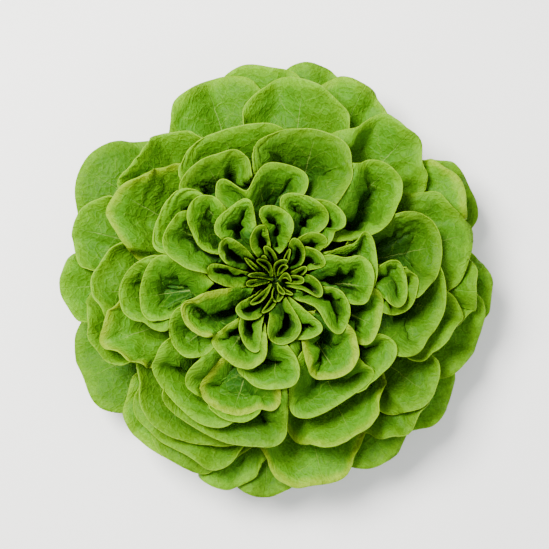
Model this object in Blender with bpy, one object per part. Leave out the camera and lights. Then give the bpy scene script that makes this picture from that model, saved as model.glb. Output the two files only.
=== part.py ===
"""Butterhead lettuce: an open head of broad waved leaves round a short cut stem.

Sizes are in millimetres until a mesh is made, +Z is up, and the cut face of the stem lies at z = 0.

A leaf is drawn on a family of nested bowls. Bowl q = 0 is the outermost and lowest, and the bowls close
towards the growing point as q rises. Along a bowl, s runs from the stem (0) to the rim of the head (1).
"""
import math
from typing import NamedTuple

import bpy
import numpy as np
from mathutils import Vector
from mathutils.bvhtree import BVHTree

MM = 0.001

# Bowls
BOWLS = np.array([0.0, 0.25, 0.5, 0.75, 1.0, 1.3])
ROOT_RADIUS = np.array([16.0, 15.5, 14.0, 10.5, 5.5, 1.5])
ROOT_HEIGHT = np.array([6.0, 18.0, 30.0, 42.0, 54.0, 66.0])
ROOT_SLOPE = np.array([0.0, 2.0, 8.0, 18.0, 45.0, 86.0])
ROOT_REACH = np.array([45.0, 50.0, 48.0, 34.0, 13.0, 5.0])
RIM_RADIUS = np.array([143.0, 131.0, 101.0, 67.0, 28.0, 3.0])
RIM_HEIGHT = np.array([18.0, 56.0, 90.0, 108.0, 106.0, 96.0])
RIM_SLOPE = np.array([-8.0, 30.0, 66.0, 90.0, 93.0, 90.0])
RIM_REACH = np.array([45.0, 42.0, 40.0, 42.0, 32.0, 8.0])
LOWEST_BOWL, HIGHEST_BOWL, MOST_CUPPED = -0.05, 1.34, 1.12
LEAST_SPREAD = 30.0

# Blade
RIM_THICKNESS = 0.8
ROOT_EXTRA = 0.8
RIB_EXTRA = 0.8
RIB_HALF_WIDTH = 0.22
CLEARANCE = 0.9
LEAST_FACING = 0.45
MOST_CAP = 0.45
BLADE_TURN = math.radians(106.0)
STALK_SHARE = 0.22

# Outline of a blade
SIDE_POWER = 0.85
LOBES = ((0.05, 2.6, 1), (0.04, 6.1, 2))
CAP_FOR_WIDTH = 1.15
STALK_LEAST = 1.0
WIDENING = 1.25

# Cup, rolled rim, pleat and ruffles. A wave is its size, its rate round the margin and its phase
SIDE_START, SIDE_RUN = 0.32, 0.66
SIDE_GAIN, SIDE_CURVE = 1.15, 1.8
TIP_CURVE = 3
ROLL_START, ROLL_RUN, ROLL_CURVE = 0.66, 0.34, 1.6
ROLL_MEAN, ROLL_WAVES = 0.8, ((0.45, 2.2, 1.7),)
ROLL_ASIDE = 0.7
LEAN_TURN = math.radians(120)
PLEAT_WIDTH, PLEAT_CURVE = 0.14, 1.6
RUFFLE_CURVE = 2.6
RUFFLES = ((1.0, 2.6, 1), (0.8, 5.3, 2.1), (0.4, 9.7, 3.3))
SWAYS = ((1.0, 2.6, 1), (0.6, 5.3, 2.1))
SWAY_SHARE, SWAY_START, SWAY_RUN = 0.4, 0.1, 0.3
WIDE_LEAF = 30.0
NEAR_AXIS = 3.0
MOST_ASIDE, LEAST_ASIDE = 1.3, 0.01

# Growing point
BUD_RADIUS, BUD_FOOT, BUD_TOP = 7.2, 60.0, 91.0
BUD_PROFILE = ((0.8, 0.1), (1.0, 0.4), (0.75, 0.8), (0.4, 0.95))
BUD_RINGS = 6

# Stem
ROOT_GAP = 0.7
STEM_GAP = 0.3
ROOT_COVER = 1.0
BUTT_ROUND = 1.5
STEM_RINGS = 5
STEM_SIDES, BUD_SIDES = 20, 11
SUNK_PLACE = -0.035

# Facets of each ring: cells from root to rim, and across
CELLS = {"wrapper": (5, 8), "outer": (5, 9), "middle": (5, 10), "inner": (4, 6), "heart": (3, 5)}
TESTS_ACROSS = 4
FIT_GAP = 0.5
MOST_LIFT, LIFT_FOR_RADIUS = 30.0, 0.6
MOVING_SHARE, SHARE_GAIN = 0.25, 1.6
LEAST_SHORT = 0.02
MOST_ROUNDS = 10
NUDGE, NUDGE_GAP = 0.3, 0.25
MOST_NUDGES = 60
LEAST_EDGE, LEAST_HEIGHT = 0.08, 0.01
SLIVER_ROUNDS = 6

LEAF_GREEN = (0.13, 0.28, 0.03)
HEART_GREEN = (0.20, 0.36, 0.05)
STEM_PALE = (0.55, 0.58, 0.36)
LEAF_ROUGHNESS, STEM_ROUGHNESS = 0.45, 0.6


class Ring(NamedTuple):
    """The cup and the ruffles of the leaves in one ring, in millimetres."""

    name: str
    side_rise: float
    tip_rise: float
    lip: float
    ruffle: float
    pleat: float
    least: float
    leaves: tuple


class Leaf(NamedTuple):
    name: str
    azimuth: float
    reach: float
    half_width: float
    side_rise: float
    tip_rise: float
    lip: float
    ruffle: float
    pleat: float
    pleat_place: float
    phase: float


# Each leaf by azimuth in degrees, then how far its rim reaches from the axis and its half width
WRAPPER = Ring("wrapper", 7.0, 0.0, 9.0, 3.6, 4.0, 0.0, (
    (78, 138, 23), (357, 137, 22), (267, 134, 24), (231, 132, 24), (302, 131, 30), (26, 137, 27),
    (96, 136, 33), (254, 132, 22), (321, 134, 25), (182, 132, 27), (208, 139, 34), (150, 138, 45),
    (66, 133, 25), (243, 131, 30), (110, 133, 31), (345, 134, 32), (283, 131, 36)))
OUTER = Ring("outer", 13.0, 0.0, 8.0, 4.2, 6.0, 0.0, (
    (28, 127, 30), (315, 124, 26), (240, 128, 44), (357, 123, 25), (165, 128, 22), (196, 118, 28),
    (82, 123, 32), (48, 123, 32), (13, 121, 35), (323, 118, 24), (233, 113, 44), (184, 112, 31),
    (138, 114, 38), (201, 108, 21), (343, 109, 21), (296, 107, 36), (151, 108, 31)))
MIDDLE = Ring("middle", 28.0, 0.0, 7.0, 3.5, 5.0, 14.0, (
    (249, 102, 34), (350, 101, 30), (110, 95, 30), (233, 95, 28), (12, 100, 23), (45, 95, 18),
    (75, 91, 27), (187, 92, 19), (244, 87, 21), (121, 85, 19), (357, 84, 12), (318, 84, 19),
    (296, 82, 17), (151, 79, 19)))
INNER = Ring("inner", 32.0, 0.0, 6.0, 2.5, 3.0, 10.0, (
    (320, 72, 14), (275, 68, 19), (21, 66, 15), (357, 64, 16), (86, 64, 18), (302, 64, 8),
    (114, 63, 13), (52, 61, 15), (202, 58, 16), (234, 57, 14), (331, 57, 8), (296, 53, 8),
    (88, 52, 10), (58, 50, 8), (20, 50, 9), (125, 46, 9), (171, 46, 8), (42, 46, 8), (251, 43, 8),
    (322, 42, 8), (99, 40, 6)))
HEART = Ring("heart", 12.0, 0.0, 3.5, 1.2, 1.5, 7.0, (
    (12, 35, 9), (347, 34, 9), (50, 31, 9), (143, 31, 6), (281, 30, 8), (216, 28, 6), (262, 27, 6),
    (184, 24, 6), (68, 21, 7)))
RINGS = (WRAPPER, OUTER, MIDDLE, INNER, HEART)
LOOSE_RINGS = ("wrapper", "outer", "middle")
SEED = 7
LEAST_VARY, MOST_VARY = 0.75, 1.25
WIDTH_GAIN = 1.06
PLEAT_REACH = 0.55
LEAST_RIM, MOST_RIM = 0.9, 1.05
OUTWARD_SHARE = 0.5
MIDDLE_SHARE = 0.35
ROOF_GAP, ROOF_ROUND = 0.015, 0.015
TOP_GAP = 0.02

# Grids
LEAF_ROWS, LEAF_COLUMNS = 33, 49
FINE_ROWS, FINE_COLUMNS = 160, 260
ROW_POWER = 0.85
CELLS_WIDE, CELLS_SOFT = 2, 3
BELL = 1.6
BOWL_STEP = 0.01
RIM_SAMPLES, BOWL_SAMPLES, LENGTH_SAMPLES = 200, 300, 40
FIRST_RIM = 0.2
MAP_ROWS, MAP_COLUMNS = 150, 720
MAP_TOP = 1.14
ROW_STEP = MAP_TOP / (MAP_ROWS - 1)
COLUMN_STEP = 360.0 / MAP_COLUMNS


def smooth(x):
    x = np.clip(x, 0.0, 1.0)
    return x * x * (3.0 - 2.0 * x)


def between_bowls(values, q):
    slopes = np.gradient(values, BOWLS)
    i = np.clip(np.searchsorted(BOWLS, q, side="right") - 1, 0, len(BOWLS) - 2)
    step = BOWLS[i + 1] - BOWLS[i]
    t = (q - BOWLS[i]) / step
    start = (2 * t**3 - 3 * t**2 + 1) * values[i] + (t**3 - 2 * t**2 + t) * step * slopes[i]
    end = (3 * t**2 - 2 * t**3) * values[i + 1] + (t**3 - t**2) * step * slopes[i + 1]
    return start + end


def bowl_point(q, s):
    """Radius and height of the point s along bowl q."""
    q = np.clip(q, LOWEST_BOWL, HIGHEST_BOWL)
    r0, z0 = between_bowls(ROOT_RADIUS, q), between_bowls(ROOT_HEIGHT, q)
    r3, z3 = between_bowls(RIM_RADIUS, q), between_bowls(RIM_HEIGHT, q)
    root = np.radians(between_bowls(ROOT_SLOPE, q))
    rim = np.radians(between_bowls(RIM_SLOPE, q))
    root_reach, rim_reach = between_bowls(ROOT_REACH, q), between_bowls(RIM_REACH, q)
    r1, z1 = r0 + root_reach * np.cos(root), z0 + root_reach * np.sin(root)
    r2, z2 = r3 - rim_reach * np.cos(rim), z3 - rim_reach * np.sin(rim)
    b0, b1, b2, b3 = (1 - s) ** 3, 3 * s * (1 - s) ** 2, 3 * s**2 * (1 - s), s**3
    return b0 * r0 + b1 * r1 + b2 * r2 + b3 * r3, b0 * z0 + b1 * z1 + b2 * z2 + b3 * z3


def spread(q, s):
    """Millimetres between bowls for each unit of q."""
    ra, za = bowl_point(q - BOWL_STEP, s)
    rb, zb = bowl_point(q + BOWL_STEP, s)
    return np.maximum(np.hypot(rb - ra, zb - za) / (2 * BOWL_STEP), LEAST_SPREAD)


def rim_place(q, reach):
    """The s at which bowl q is this far from the axis."""
    s = np.linspace(FIRST_RIM, MOST_CUPPED, RIM_SAMPLES)
    radius, _ = bowl_point(np.full_like(s, q), s)
    return float(np.interp(reach, np.maximum.accumulate(radius), s))


def bowl_of(reach):
    """The bowl whose rim lies this far from the axis."""
    q = np.linspace(0.0, HIGHEST_BOWL, BOWL_SAMPLES)
    return float(np.interp(-reach, -between_bowls(RIM_RADIUS, q), q))


def bowl_length(q, s):
    """The length along bowl q from the stem to s."""
    steps = np.linspace(0.0, s, LENGTH_SAMPLES)
    radius, height = bowl_point(np.full_like(steps, q), steps)
    return float(np.hypot(np.diff(radius), np.diff(height)).sum())


def in_space(s, theta, q):
    radius, height = bowl_point(q, s)
    return np.stack([radius * np.cos(theta), radius * np.sin(theta), height], -1)


def thickness(a, b):
    rib = RIB_EXTRA * (1 - a) * np.exp(-((b / RIB_HALF_WIDTH) ** 2))
    return RIM_THICKNESS + ROOT_EXTRA * (1 - a) ** 2 + rib


def all_leaves():
    draw = np.random.default_rng(SEED)
    found = []
    for ring in RINGS:
        for k, (azimuth, reach, half_width) in enumerate(ring.leaves):
            side, tip, lip, ruffle, pleat = draw.uniform(LEAST_VARY, MOST_VARY, 5)
            found.append(Leaf(
                name=f"{ring.name}_leaf_{k + 1:02d}",
                azimuth=azimuth,
                reach=reach,
                half_width=max(WIDTH_GAIN * half_width, ring.least),
                side_rise=ring.side_rise * side,
                tip_rise=ring.tip_rise * tip,
                lip=ring.lip * lip,
                ruffle=ring.ruffle * ruffle,
                pleat=ring.pleat * (pleat - 1.0) / (MOST_VARY - 1.0),
                pleat_place=draw.uniform(-PLEAT_REACH, PLEAT_REACH),
                phase=draw.uniform(0.0, 2 * math.pi)))
    return found


def waves(shape, terms, psi, phase, level=0.0):
    return sum((size * shape(rate * psi + turns * phase) for size, rate, turns in terms), level)


def draw_leaf(leaf, bowl, rim, a, b):
    """s, theta and q of a leaf before it is laid on the others. a runs from root to rim, b across."""
    psi = b * BLADE_TURN
    edge = np.abs(b)
    lobes = waves(np.sin, LOBES, psi, leaf.phase, 1.0)
    across = leaf.half_width * np.sign(psi) * np.abs(np.sin(psi)) ** SIDE_POWER * lobes
    cap = min(MOST_CAP, CAP_FOR_WIDTH * leaf.half_width / bowl_length(bowl, rim))
    along = 1 - cap + cap * np.cos(psi) * lobes
    stalk = STALK_SHARE * leaf.half_width + STALK_LEAST
    x = b * stalk + (across - b * stalk) * a**WIDENING
    s = along * a * rim

    side = smooth((edge - SIDE_START) / SIDE_RUN)
    rise = leaf.side_rise * side * np.minimum(1, SIDE_GAIN * a) ** SIDE_CURVE
    rise = rise + leaf.tip_rise * (1 - side) * a**TIP_CURVE
    roll = leaf.lip * np.clip((a - ROLL_START) / ROLL_RUN, 0, 1) ** ROLL_CURVE
    roll = roll * waves(np.sin, ROLL_WAVES, psi, leaf.phase, ROLL_MEAN)
    lean = np.clip(psi / LEAN_TURN, -1, 1) * math.pi / 2
    pleat = leaf.pleat * np.exp(-(((b - leaf.pleat_place) / PLEAT_WIDTH) ** 2)) * a**PLEAT_CURVE
    ruffle = leaf.ruffle * a**RUFFLE_CURVE
    lift = rise - roll * np.cos(lean) + pleat + ruffle * waves(np.sin, RUFFLES, psi, leaf.phase)

    sway = SWAY_SHARE * ruffle * min(1.0, leaf.half_width / WIDE_LEAF)
    sway = sway * waves(np.cos, SWAYS, psi, leaf.phase) * smooth((edge - SWAY_START) / SWAY_RUN)
    radius, _ = bowl_point(np.full_like(s, bowl), s)
    aside = (x + sway + ROLL_ASIDE * roll * np.sin(lean)) / np.maximum(radius, NEAR_AXIS)
    aside = np.sort(np.clip(aside, -MOST_ASIDE, MOST_ASIDE), axis=1) + LEAST_ASIDE * b
    theta = math.radians(leaf.azimuth) + aside
    return s, theta, bowl + lift / spread(np.full_like(s, bowl), s)


def widened(field, cells, wrap):
    """The largest value within so many cells, along both axes."""
    best = field
    for k in range(1, cells + 1):
        for way in (k, -k):
            moved = np.roll(field, way, 1)
            if not wrap and way > 0:
                moved[:, :way] = field[:, :1]
            if not wrap and way < 0:
                moved[:, way:] = field[:, -1:]
            best = np.maximum(best, moved)
    out = best
    for k in range(1, cells + 1):
        above = np.vstack([best[k:], np.repeat(best[-1:], k, 0)])
        below = np.vstack([np.repeat(best[:1], k, 0), best[:-k]])
        out = np.maximum(out, np.maximum(above, below))
    return out


def softened(field, cells, wrap):
    """The mean over a bell of so many cells each way."""
    reach = np.arange(-cells, cells + 1)
    bell = np.exp(-((BELL * reach / cells) ** 2))
    bell = bell / bell.sum()
    sides = np.pad(field, ((0, 0), (cells, cells)), mode="wrap" if wrap else "edge")
    field = sum(w * sides[:, k:k + field.shape[1]] for k, w in enumerate(bell))
    ends = np.pad(field, ((cells, cells), (0, 0)), mode="edge")
    return sum(w * ends[k:k + field.shape[0]] for k, w in enumerate(bell))


def read_map(field, s, theta):
    y = np.clip(s / ROW_STEP, 0, MAP_ROWS - 1.001)
    x = (np.degrees(theta) / COLUMN_STEP) % MAP_COLUMNS
    i = y.astype(int)
    j = x.astype(int) % MAP_COLUMNS
    right = (j + 1) % MAP_COLUMNS
    v, u = y - i, x - np.floor(x)
    near = (1 - u) * field[i, j] + u * field[i, right]
    far = (1 - u) * field[i + 1, j] + u * field[i + 1, right]
    return (1 - v) * near + v * far


def resampled(grid, rows, columns):
    """The same grid at other shares of its rows and columns."""
    y = np.asarray(rows) * (grid.shape[0] - 1)
    x = np.asarray(columns) * (grid.shape[1] - 1)
    i = np.minimum(y.astype(int), grid.shape[0] - 2)
    j = np.minimum(x.astype(int), grid.shape[1] - 2)
    v, u = (y - i)[:, None], (x - j)[None, :]
    near = (1 - u) * grid[np.ix_(i, j)] + u * grid[np.ix_(i, j + 1)]
    far = (1 - u) * grid[np.ix_(i + 1, j)] + u * grid[np.ix_(i + 1, j + 1)]
    return (1 - v) * near + v * far


def map_cells(s, theta):
    i = np.clip(np.round(s / ROW_STEP).astype(int), 0, MAP_ROWS - 1)
    j = np.round(np.degrees(theta) / COLUMN_STEP).astype(int) % MAP_COLUMNS
    return i, j


def laid_leaves():
    """Every leaf as grids of s, theta and q, from the outermost in.

    A leaf is cupped only as far as the leaves inside it leave room, then laid clear of those outside it.
    """
    leaves = sorted(all_leaves(), key=lambda leaf: -leaf.reach)
    a, b = np.meshgrid(
        np.linspace(0, 1, LEAF_ROWS) ** ROW_POWER, np.linspace(-1, 1, LEAF_COLUMNS), indexing="ij")
    fine_rows, fine_columns = np.linspace(0, 1, FINE_ROWS), np.linspace(0, 1, FINE_COLUMNS)
    middle = np.abs(2 * fine_columns - 1) < MIDDLE_SHARE
    drawn = []
    roof = np.full((MAP_ROWS, MAP_COLUMNS), HIGHEST_BOWL)
    for leaf in reversed(leaves):
        bowl = bowl_of(leaf.reach)
        outward = leaf.lip * math.sin(math.radians(between_bowls(RIM_SLOPE, bowl)))
        rim = np.clip(rim_place(bowl, leaf.reach - OUTWARD_SHARE * outward), LEAST_RIM, MOST_RIM)
        s, theta, q = draw_leaf(leaf, bowl, rim, a, b)
        above = softened(-widened(-roof, CELLS_WIDE, True), CELLS_SOFT, True)
        room = np.maximum(np.minimum(read_map(above, s, theta), MOST_CUPPED) - ROOF_GAP, bowl)
        q = 0.5 * (q + room - np.sqrt((q - room) ** 2 + ROOF_ROUND**2))
        drawn.append((leaf, s, theta, q))
        i, j = map_cells(
            resampled(s, fine_rows, fine_columns)[:, middle],
            resampled(theta, fine_rows, fine_columns)[:, middle])
        np.minimum.at(roof, (i, j), bowl)
    highest = np.full((MAP_ROWS, MAP_COLUMNS), LOWEST_BOWL)
    laid = []
    for leaf, s, theta, q in reversed(drawn):
        below = softened(widened(highest, CELLS_WIDE, True), CELLS_SOFT, True)
        gap = (thickness(a, b) + CLEARANCE) / spread(q, s)
        short = np.maximum(read_map(below, s, theta) + gap - q, 0.0)
        push = softened(widened(short, CELLS_WIDE, False), CELLS_SOFT, False)
        q = q + np.maximum(push, short)
        if q.max() > HIGHEST_BOWL - TOP_GAP:
            continue
        laid.append((leaf, s, theta, q))
        i, j = map_cells(
            resampled(s, fine_rows, fine_columns), resampled(theta, fine_rows, fine_columns))
        np.maximum.at(highest, (i, j), resampled(q, fine_rows, fine_columns))
    return laid


def unit(vectors):
    return vectors / np.maximum(np.linalg.norm(vectors, axis=-1, keepdims=True), 1e-9)


def inward_of(s, theta, q):
    """Unit vectors from each bowl to the next one in."""
    return unit(in_space(s, theta, q + BOWL_STEP) - in_space(s, theta, q - BOWL_STEP))


def faces_of_blade(s, theta, q, thick):
    """The upper and lower face of a blade as two grids of points.

    Both lie on the line from bowl to bowl, so they can't cross, and further apart where the blade
    is steep.
    """
    middle = in_space(s, theta, q)
    normal = unit(np.cross(np.gradient(middle, axis=0), np.gradient(middle, axis=1)))
    inward = inward_of(s, theta, q)
    steep = 1 / np.maximum(np.abs((normal * inward).sum(-1)), LEAST_FACING)
    half = RIM_THICKNESS / 2
    upper = middle + inward * (half * steep)[..., None]
    lower = middle - inward * ((thick - half) * steep)[..., None]
    return upper, lower


def blade_triangles(rows, columns):
    """Both faces split along the same diagonals, and the strip that joins them round the margin."""
    corner = np.arange(rows * columns).reshape(rows, columns)
    a, b = corner[:-1, :-1].ravel(), corner[:-1, 1:].ravel()
    c, d = corner[1:, 1:].ravel(), corner[1:, :-1].ravel()
    upper = np.concatenate([np.stack([a, b, c], 1), np.stack([a, c, d], 1)])
    lower = upper[:, ::-1] + rows * columns
    loop = np.concatenate([corner[0], corner[1:, -1], corner[-1, -2::-1], corner[-2:0:-1, 0]])
    after = np.roll(loop, -1)
    under, under_after = loop + rows * columns, after + rows * columns
    strip = np.concatenate([
        np.stack([loop, under_after, after], 1), np.stack([loop, under, under_after], 1)])
    return np.concatenate([upper, lower, strip])


def blade_solid(s, theta, q, thick):
    upper, lower = faces_of_blade(s, theta, q, thick)
    points = np.concatenate([upper.reshape(-1, 3), lower.reshape(-1, 3)])
    return points, blade_triangles(*q.shape)


def facet_shares():
    """Where a facet is tested: the corners that bound each place, and their shares."""
    shares = []
    for u in np.linspace(0.0, 1.0, TESTS_ACROSS):
        for v in np.linspace(0.0, 1.0, TESTS_ACROSS):
            low, high = min(u, v), max(u, v)
            beside = (0, 1) if u > v else (1, 0)
            shares.append((((0, 0), 1 - high), (beside, high - low), ((1, 1), low)))
    return shares


def dip(tree, place, inward, radius):
    """How far a place on a leaf lies short of the gap above the leaves outside it."""
    start_height = min(MOST_LIFT, LIFT_FOR_RADIUS * radius)
    start = place + start_height * inward
    hit = tree.ray_cast(Vector(start), Vector(-inward), start_height + FIT_GAP)
    if hit[0] is None:
        return 0.0
    return start_height + FIT_GAP - hit[3]


def raised_clear(tree, s, theta, q, thick):
    """The same leaf with its corners raised until no facet comes too near the leaves outside it."""
    rows, columns = q.shape
    shares = facet_shares()
    for _ in range(MOST_ROUNDS):
        _, lower = faces_of_blade(s, theta, q, thick)
        inward = inward_of(s, theta, q)
        raise_by = np.zeros_like(q)
        for i in range(rows - 1):
            for j in range(columns - 1):
                for corners in shares:
                    place = sum(w * lower[i + di, j + dj] for (di, dj), w in corners)
                    way = unit(sum(w * inward[i + di, j + dj] for (di, dj), w in corners))
                    short = dip(tree, place, way, math.hypot(place[0], place[1]))
                    for (di, dj), w in corners:
                        if w > MOVING_SHARE:
                            corner = i + di, j + dj
                            raise_by[corner] = max(raise_by[corner], short * min(1.0, SHARE_GAIN * w))
        if raise_by.max() < LEAST_SHORT:
            break
        q = q + raise_by / spread(q, s)
        q = np.maximum(q, 0.5 * (q + softened(q, 1, False)))
    for _ in range(MOST_NUDGES):
        points, triangles = blade_solid(s, theta, q, thick + NUDGE_GAP)
        crossing = BVHTree.FromPolygons(points.tolist(), triangles.tolist()).overlap(tree)
        if not crossing:
            break
        nudged = np.zeros(q.size)
        nudged[np.unique(triangles[[own for own, _ in crossing]]) % q.size] = NUDGE
        q = q + softened(widened(nudged.reshape(q.shape), 1, False), 1, False) / spread(q, s)
    return q


def mesh_object(name, points, triangles, material):
    """A closed mesh with its faces turned outwards."""
    if np.linalg.det(points[triangles]).sum() < 0:
        triangles = triangles[:, ::-1]
    mesh = bpy.data.meshes.new(name)
    mesh.from_pydata((points * MM).tolist(), [], triangles.tolist())
    mesh.shade_smooth()
    mesh.materials.append(material)
    found = bpy.data.objects.new(name, mesh)
    bpy.context.scene.collection.objects.link(found)
    return found


def outer_shell(mesh):
    """The largest closed surface of a mesh, so that hollows sealed by the union are filled."""
    points = np.array([vertex.co for vertex in mesh.vertices])
    mesh.calc_loop_triangles()
    triangles = np.array([triangle.vertices for triangle in mesh.loop_triangles])
    ends = np.concatenate([triangles[:, [0, 1]], triangles[:, [1, 2]], triangles[:, [2, 0]]])
    ends = np.sort(ends, axis=1)
    _, edge, sharing = np.unique(ends, axis=0, return_inverse=True, return_counts=True)
    edge = edge.reshape(3, -1).T
    alone = len(triangles)
    shell = np.arange(alone)
    while True:
        least = np.full(len(sharing), alone)
        np.minimum.at(least, edge.ravel(), np.repeat(shell, 3))
        least[sharing != 2] = alone
        nearest = np.minimum(least[edge].min(1), shell)
        if (nearest == shell).all():
            break
        shell = nearest[nearest]
    volume = {k: np.linalg.det(points[triangles[shell == k]]).sum() for k in set(shell.tolist())}
    used, index = np.unique(triangles[shell == max(volume, key=volume.get)], return_inverse=True)
    return points[used] / MM, index.reshape(-1, 3)


def without_slivers(points, triangles):
    """The same skin with its tiny edges closed up and its needle facets turned, where it stays closed."""
    facets = {k: tuple(t) for k, t in enumerate(triangles.tolist())}
    around = {}
    for k, facet in facets.items():
        for corner in facet:
            around.setdefault(corner, set()).add(k)

    def beside(corner):
        return {other for k in around[corner] for other in facets[k]} - {corner}

    def way(facet):
        return np.cross(points[facet[1]] - points[facet[0]], points[facet[2]] - points[facet[0]])

    def turned_over(before, after):
        return (way(before) * way(after)).sum() < 0 and np.linalg.norm(way(before)) > LEAST_EDGE**2

    def close_up(kept, gone):
        if len(beside(kept) & beside(gone)) != 2:
            return False
        moved = {
            k: tuple(kept if c == gone else c for c in facets[k]) for k in around[gone] - around[kept]}
        if any(turned_over(facets[k], facet) for k, facet in moved.items()):
            return False
        for k in around[gone] & around[kept]:
            for corner in facets[k]:
                around[corner].discard(k)
            del facets[k]
        for k, facet in moved.items():
            facets[k] = facet
            around[kept].add(k)
        around[gone] = set()
        return True

    def turn(k):
        """Swaps the long edge of a needle for the one that crosses it."""
        facet = facets[k]
        sides = [np.linalg.norm(points[facet[i]] - points[facet[i - 1]]) for i in range(3)]
        i = int(np.argmax(sides))
        u, v, w = facet[i - 1], facet[i], facet[(i + 1) % 3]
        other = next((n for n in around[u] & around[v] if n != k), None)
        if other is None:
            return
        x = next(c for c in facets[other] if c not in (u, v))
        if x == w or x in beside(w):
            return
        first, second = (u, x, w), (x, v, w)
        beyond = way(facets[other])
        if (way(first) * beyond).sum() <= 0 or (way(second) * beyond).sum() <= 0:
            return
        facets[k], facets[other] = first, second
        around[v].discard(k)
        around[u].discard(other)
        around[x].add(k)
        around[w].add(other)

    for _ in range(SLIVER_ROUNDS):
        before = len(facets)
        pairs = {tuple(sorted((f[i], f[i - 1]))) for f in facets.values() for i in range(3)}
        short = sorted((float(np.linalg.norm(points[u] - points[v])), u, v) for u, v in pairs)
        for length, u, v in short:
            if length > LEAST_EDGE:
                break
            if around[u] and around[v] and around[u] & around[v]:
                close_up(u, v)
        for k in list(facets):
            if k in facets:
                f = facets[k]
                longest = max(np.linalg.norm(points[f[i]] - points[f[i - 1]]) for i in range(3))
                if np.linalg.norm(way(f)) < LEAST_HEIGHT * longest:
                    turn(k)
        if len(facets) == before:
            break
    used, index = np.unique(np.array(list(facets.values())), return_inverse=True)
    points, triangles = points[used], index.reshape(-1, 3)
    a, b, c = (points[triangles[:, k]] for k in range(3))
    largest_first = np.argsort(-np.linalg.norm(np.cross(b - a, c - a), axis=1))
    return points, triangles[largest_first]


def turned(profile, sides):
    """A closed body turned round the axis. The profile runs up from the axis and back to it."""
    radius, height = profile[1:-1, 0], profile[1:-1, 1]
    angle = np.linspace(0, 2 * math.pi, sides, endpoint=False)
    across = np.stack([np.cos(angle), np.sin(angle)], -1)
    ring = np.concatenate([
        radius[:, None, None] * across,
        np.broadcast_to(height[:, None, None], (len(radius), sides, 1))], -1)
    points = np.concatenate([ring.reshape(-1, 3), [[0, 0, profile[0, 1]], [0, 0, profile[-1, 1]]]])
    foot, top = len(radius) * sides, len(radius) * sides + 1
    last = foot - sides
    triangles = []
    for k in range(sides):
        n = (k + 1) % sides
        for i in range(0, last, sides):
            triangles += [(i + k, i + n, i + n + sides), (i + k, i + n + sides, i + k + sides)]
        triangles += [(foot, n, k), (top, last + k, last + n)]
    return points, np.array(triangles)


def stem_radius(height):
    """The stem follows the roots of the leaves, a small gap inside them."""
    q = np.linspace(0.0, HIGHEST_BOWL, 200)
    return np.interp(height, between_bowls(ROOT_HEIGHT, q), between_bowls(ROOT_RADIUS, q)) - ROOT_GAP


def material(name, colour, roughness):
    made = bpy.data.materials.new(name)
    made.use_nodes = True
    shader = made.node_tree.nodes["Principled BSDF"]
    shader.inputs["Base Color"].default_value = (*colour, 1.0)
    shader.inputs["Roughness"].default_value = roughness
    shader.inputs["Metallic"].default_value = 0.0
    made.diffuse_color = (*colour, 1.0)
    return made


def empty_scene():
    for found in list(bpy.data.objects):
        bpy.data.objects.remove(found)


def make_leaves(green):
    """Each leaf of the loose rings as its own node. Returns the grids of the leaves left for the heart."""
    placed_points, placed_triangles = [], []
    fused = []
    count = 0
    for leaf, s, theta, q in laid_leaves():
        ring = leaf.name.split("_")[0]
        cells_along, cells_across = CELLS[ring]
        rows, columns = np.linspace(0, 1, cells_along + 1), np.linspace(0, 1, cells_across + 1)
        s, theta, q = (resampled(softened(g, 1, False), rows, columns) for g in (s, theta, q))
        a, b = np.meshgrid(rows**ROW_POWER, 2 * columns - 1, indexing="ij")
        thick = thickness(a, b)
        s[0] = 0.0
        if placed_points:
            tree = BVHTree.FromPolygons(
                np.concatenate(placed_points).tolist(), np.concatenate(placed_triangles).tolist())
            q = raised_clear(tree, s, theta, q, thick)
        points, triangles = blade_solid(s, theta, q, thick)
        if ring in LOOSE_RINGS:
            mesh_object(leaf.name, points, triangles, green)
        else:
            fused.append((leaf, s, theta, q, thick))
        placed_points.append(points)
        placed_triangles.append(triangles + count)
        count += len(points)
    return fused


def make_stem(top, pale):
    heights = np.array([0.0, *np.linspace(BUTT_ROUND, top, STEM_RINGS)])
    radii = stem_radius(np.maximum(heights, between_bowls(ROOT_HEIGHT, 0.0)))
    radii[0] -= BUTT_ROUND
    side = np.stack([radii, heights], 1)
    points, triangles = turned(np.array([[0, 0.0], *side, [0, top]]), STEM_SIDES)
    mesh_object("stem", points, triangles, pale)


def make_heart(foot, fused, green):
    """The upper stem with its bud, joined to the small leaves whose roots are sunk in it."""
    heights = np.linspace(foot, BUD_FOOT, BUD_RINGS)
    side = np.stack([stem_radius(heights), heights], 1)
    bud = [(BUD_RADIUS * c, BUD_FOOT + (BUD_TOP - BUD_FOOT) * h) for c, h in BUD_PROFILE]
    points, triangles = turned(np.array([[0, foot], *side, *bud, [0, BUD_TOP]]), BUD_SIDES)
    heart = mesh_object("heart", points, triangles, green)
    joined = bpy.data.collections.new("heart_leaves")
    bpy.context.scene.collection.children.link(joined)
    for leaf, s, theta, q, thick in fused:
        sunk = [np.concatenate([g[:1], g]) for g in (s, theta, q, thick)]
        sunk[0][0] = SUNK_PLACE
        points, triangles = blade_solid(*sunk)
        made = mesh_object(leaf.name, points, triangles, green)
        bpy.context.scene.collection.objects.unlink(made)
        joined.objects.link(made)
    union = heart.modifiers.new("join", "BOOLEAN")
    union.operation = "UNION"
    union.operand_type = "COLLECTION"
    union.collection = joined
    union.solver = "MANIFOLD"
    graph = bpy.context.evaluated_depsgraph_get()
    points, triangles = without_slivers(*outer_shell(heart.evaluated_get(graph).to_mesh()))
    for made in [heart, *joined.objects]:
        bpy.data.objects.remove(made)
    bpy.data.collections.remove(joined)
    mesh_object("heart", points, triangles, green)


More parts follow.
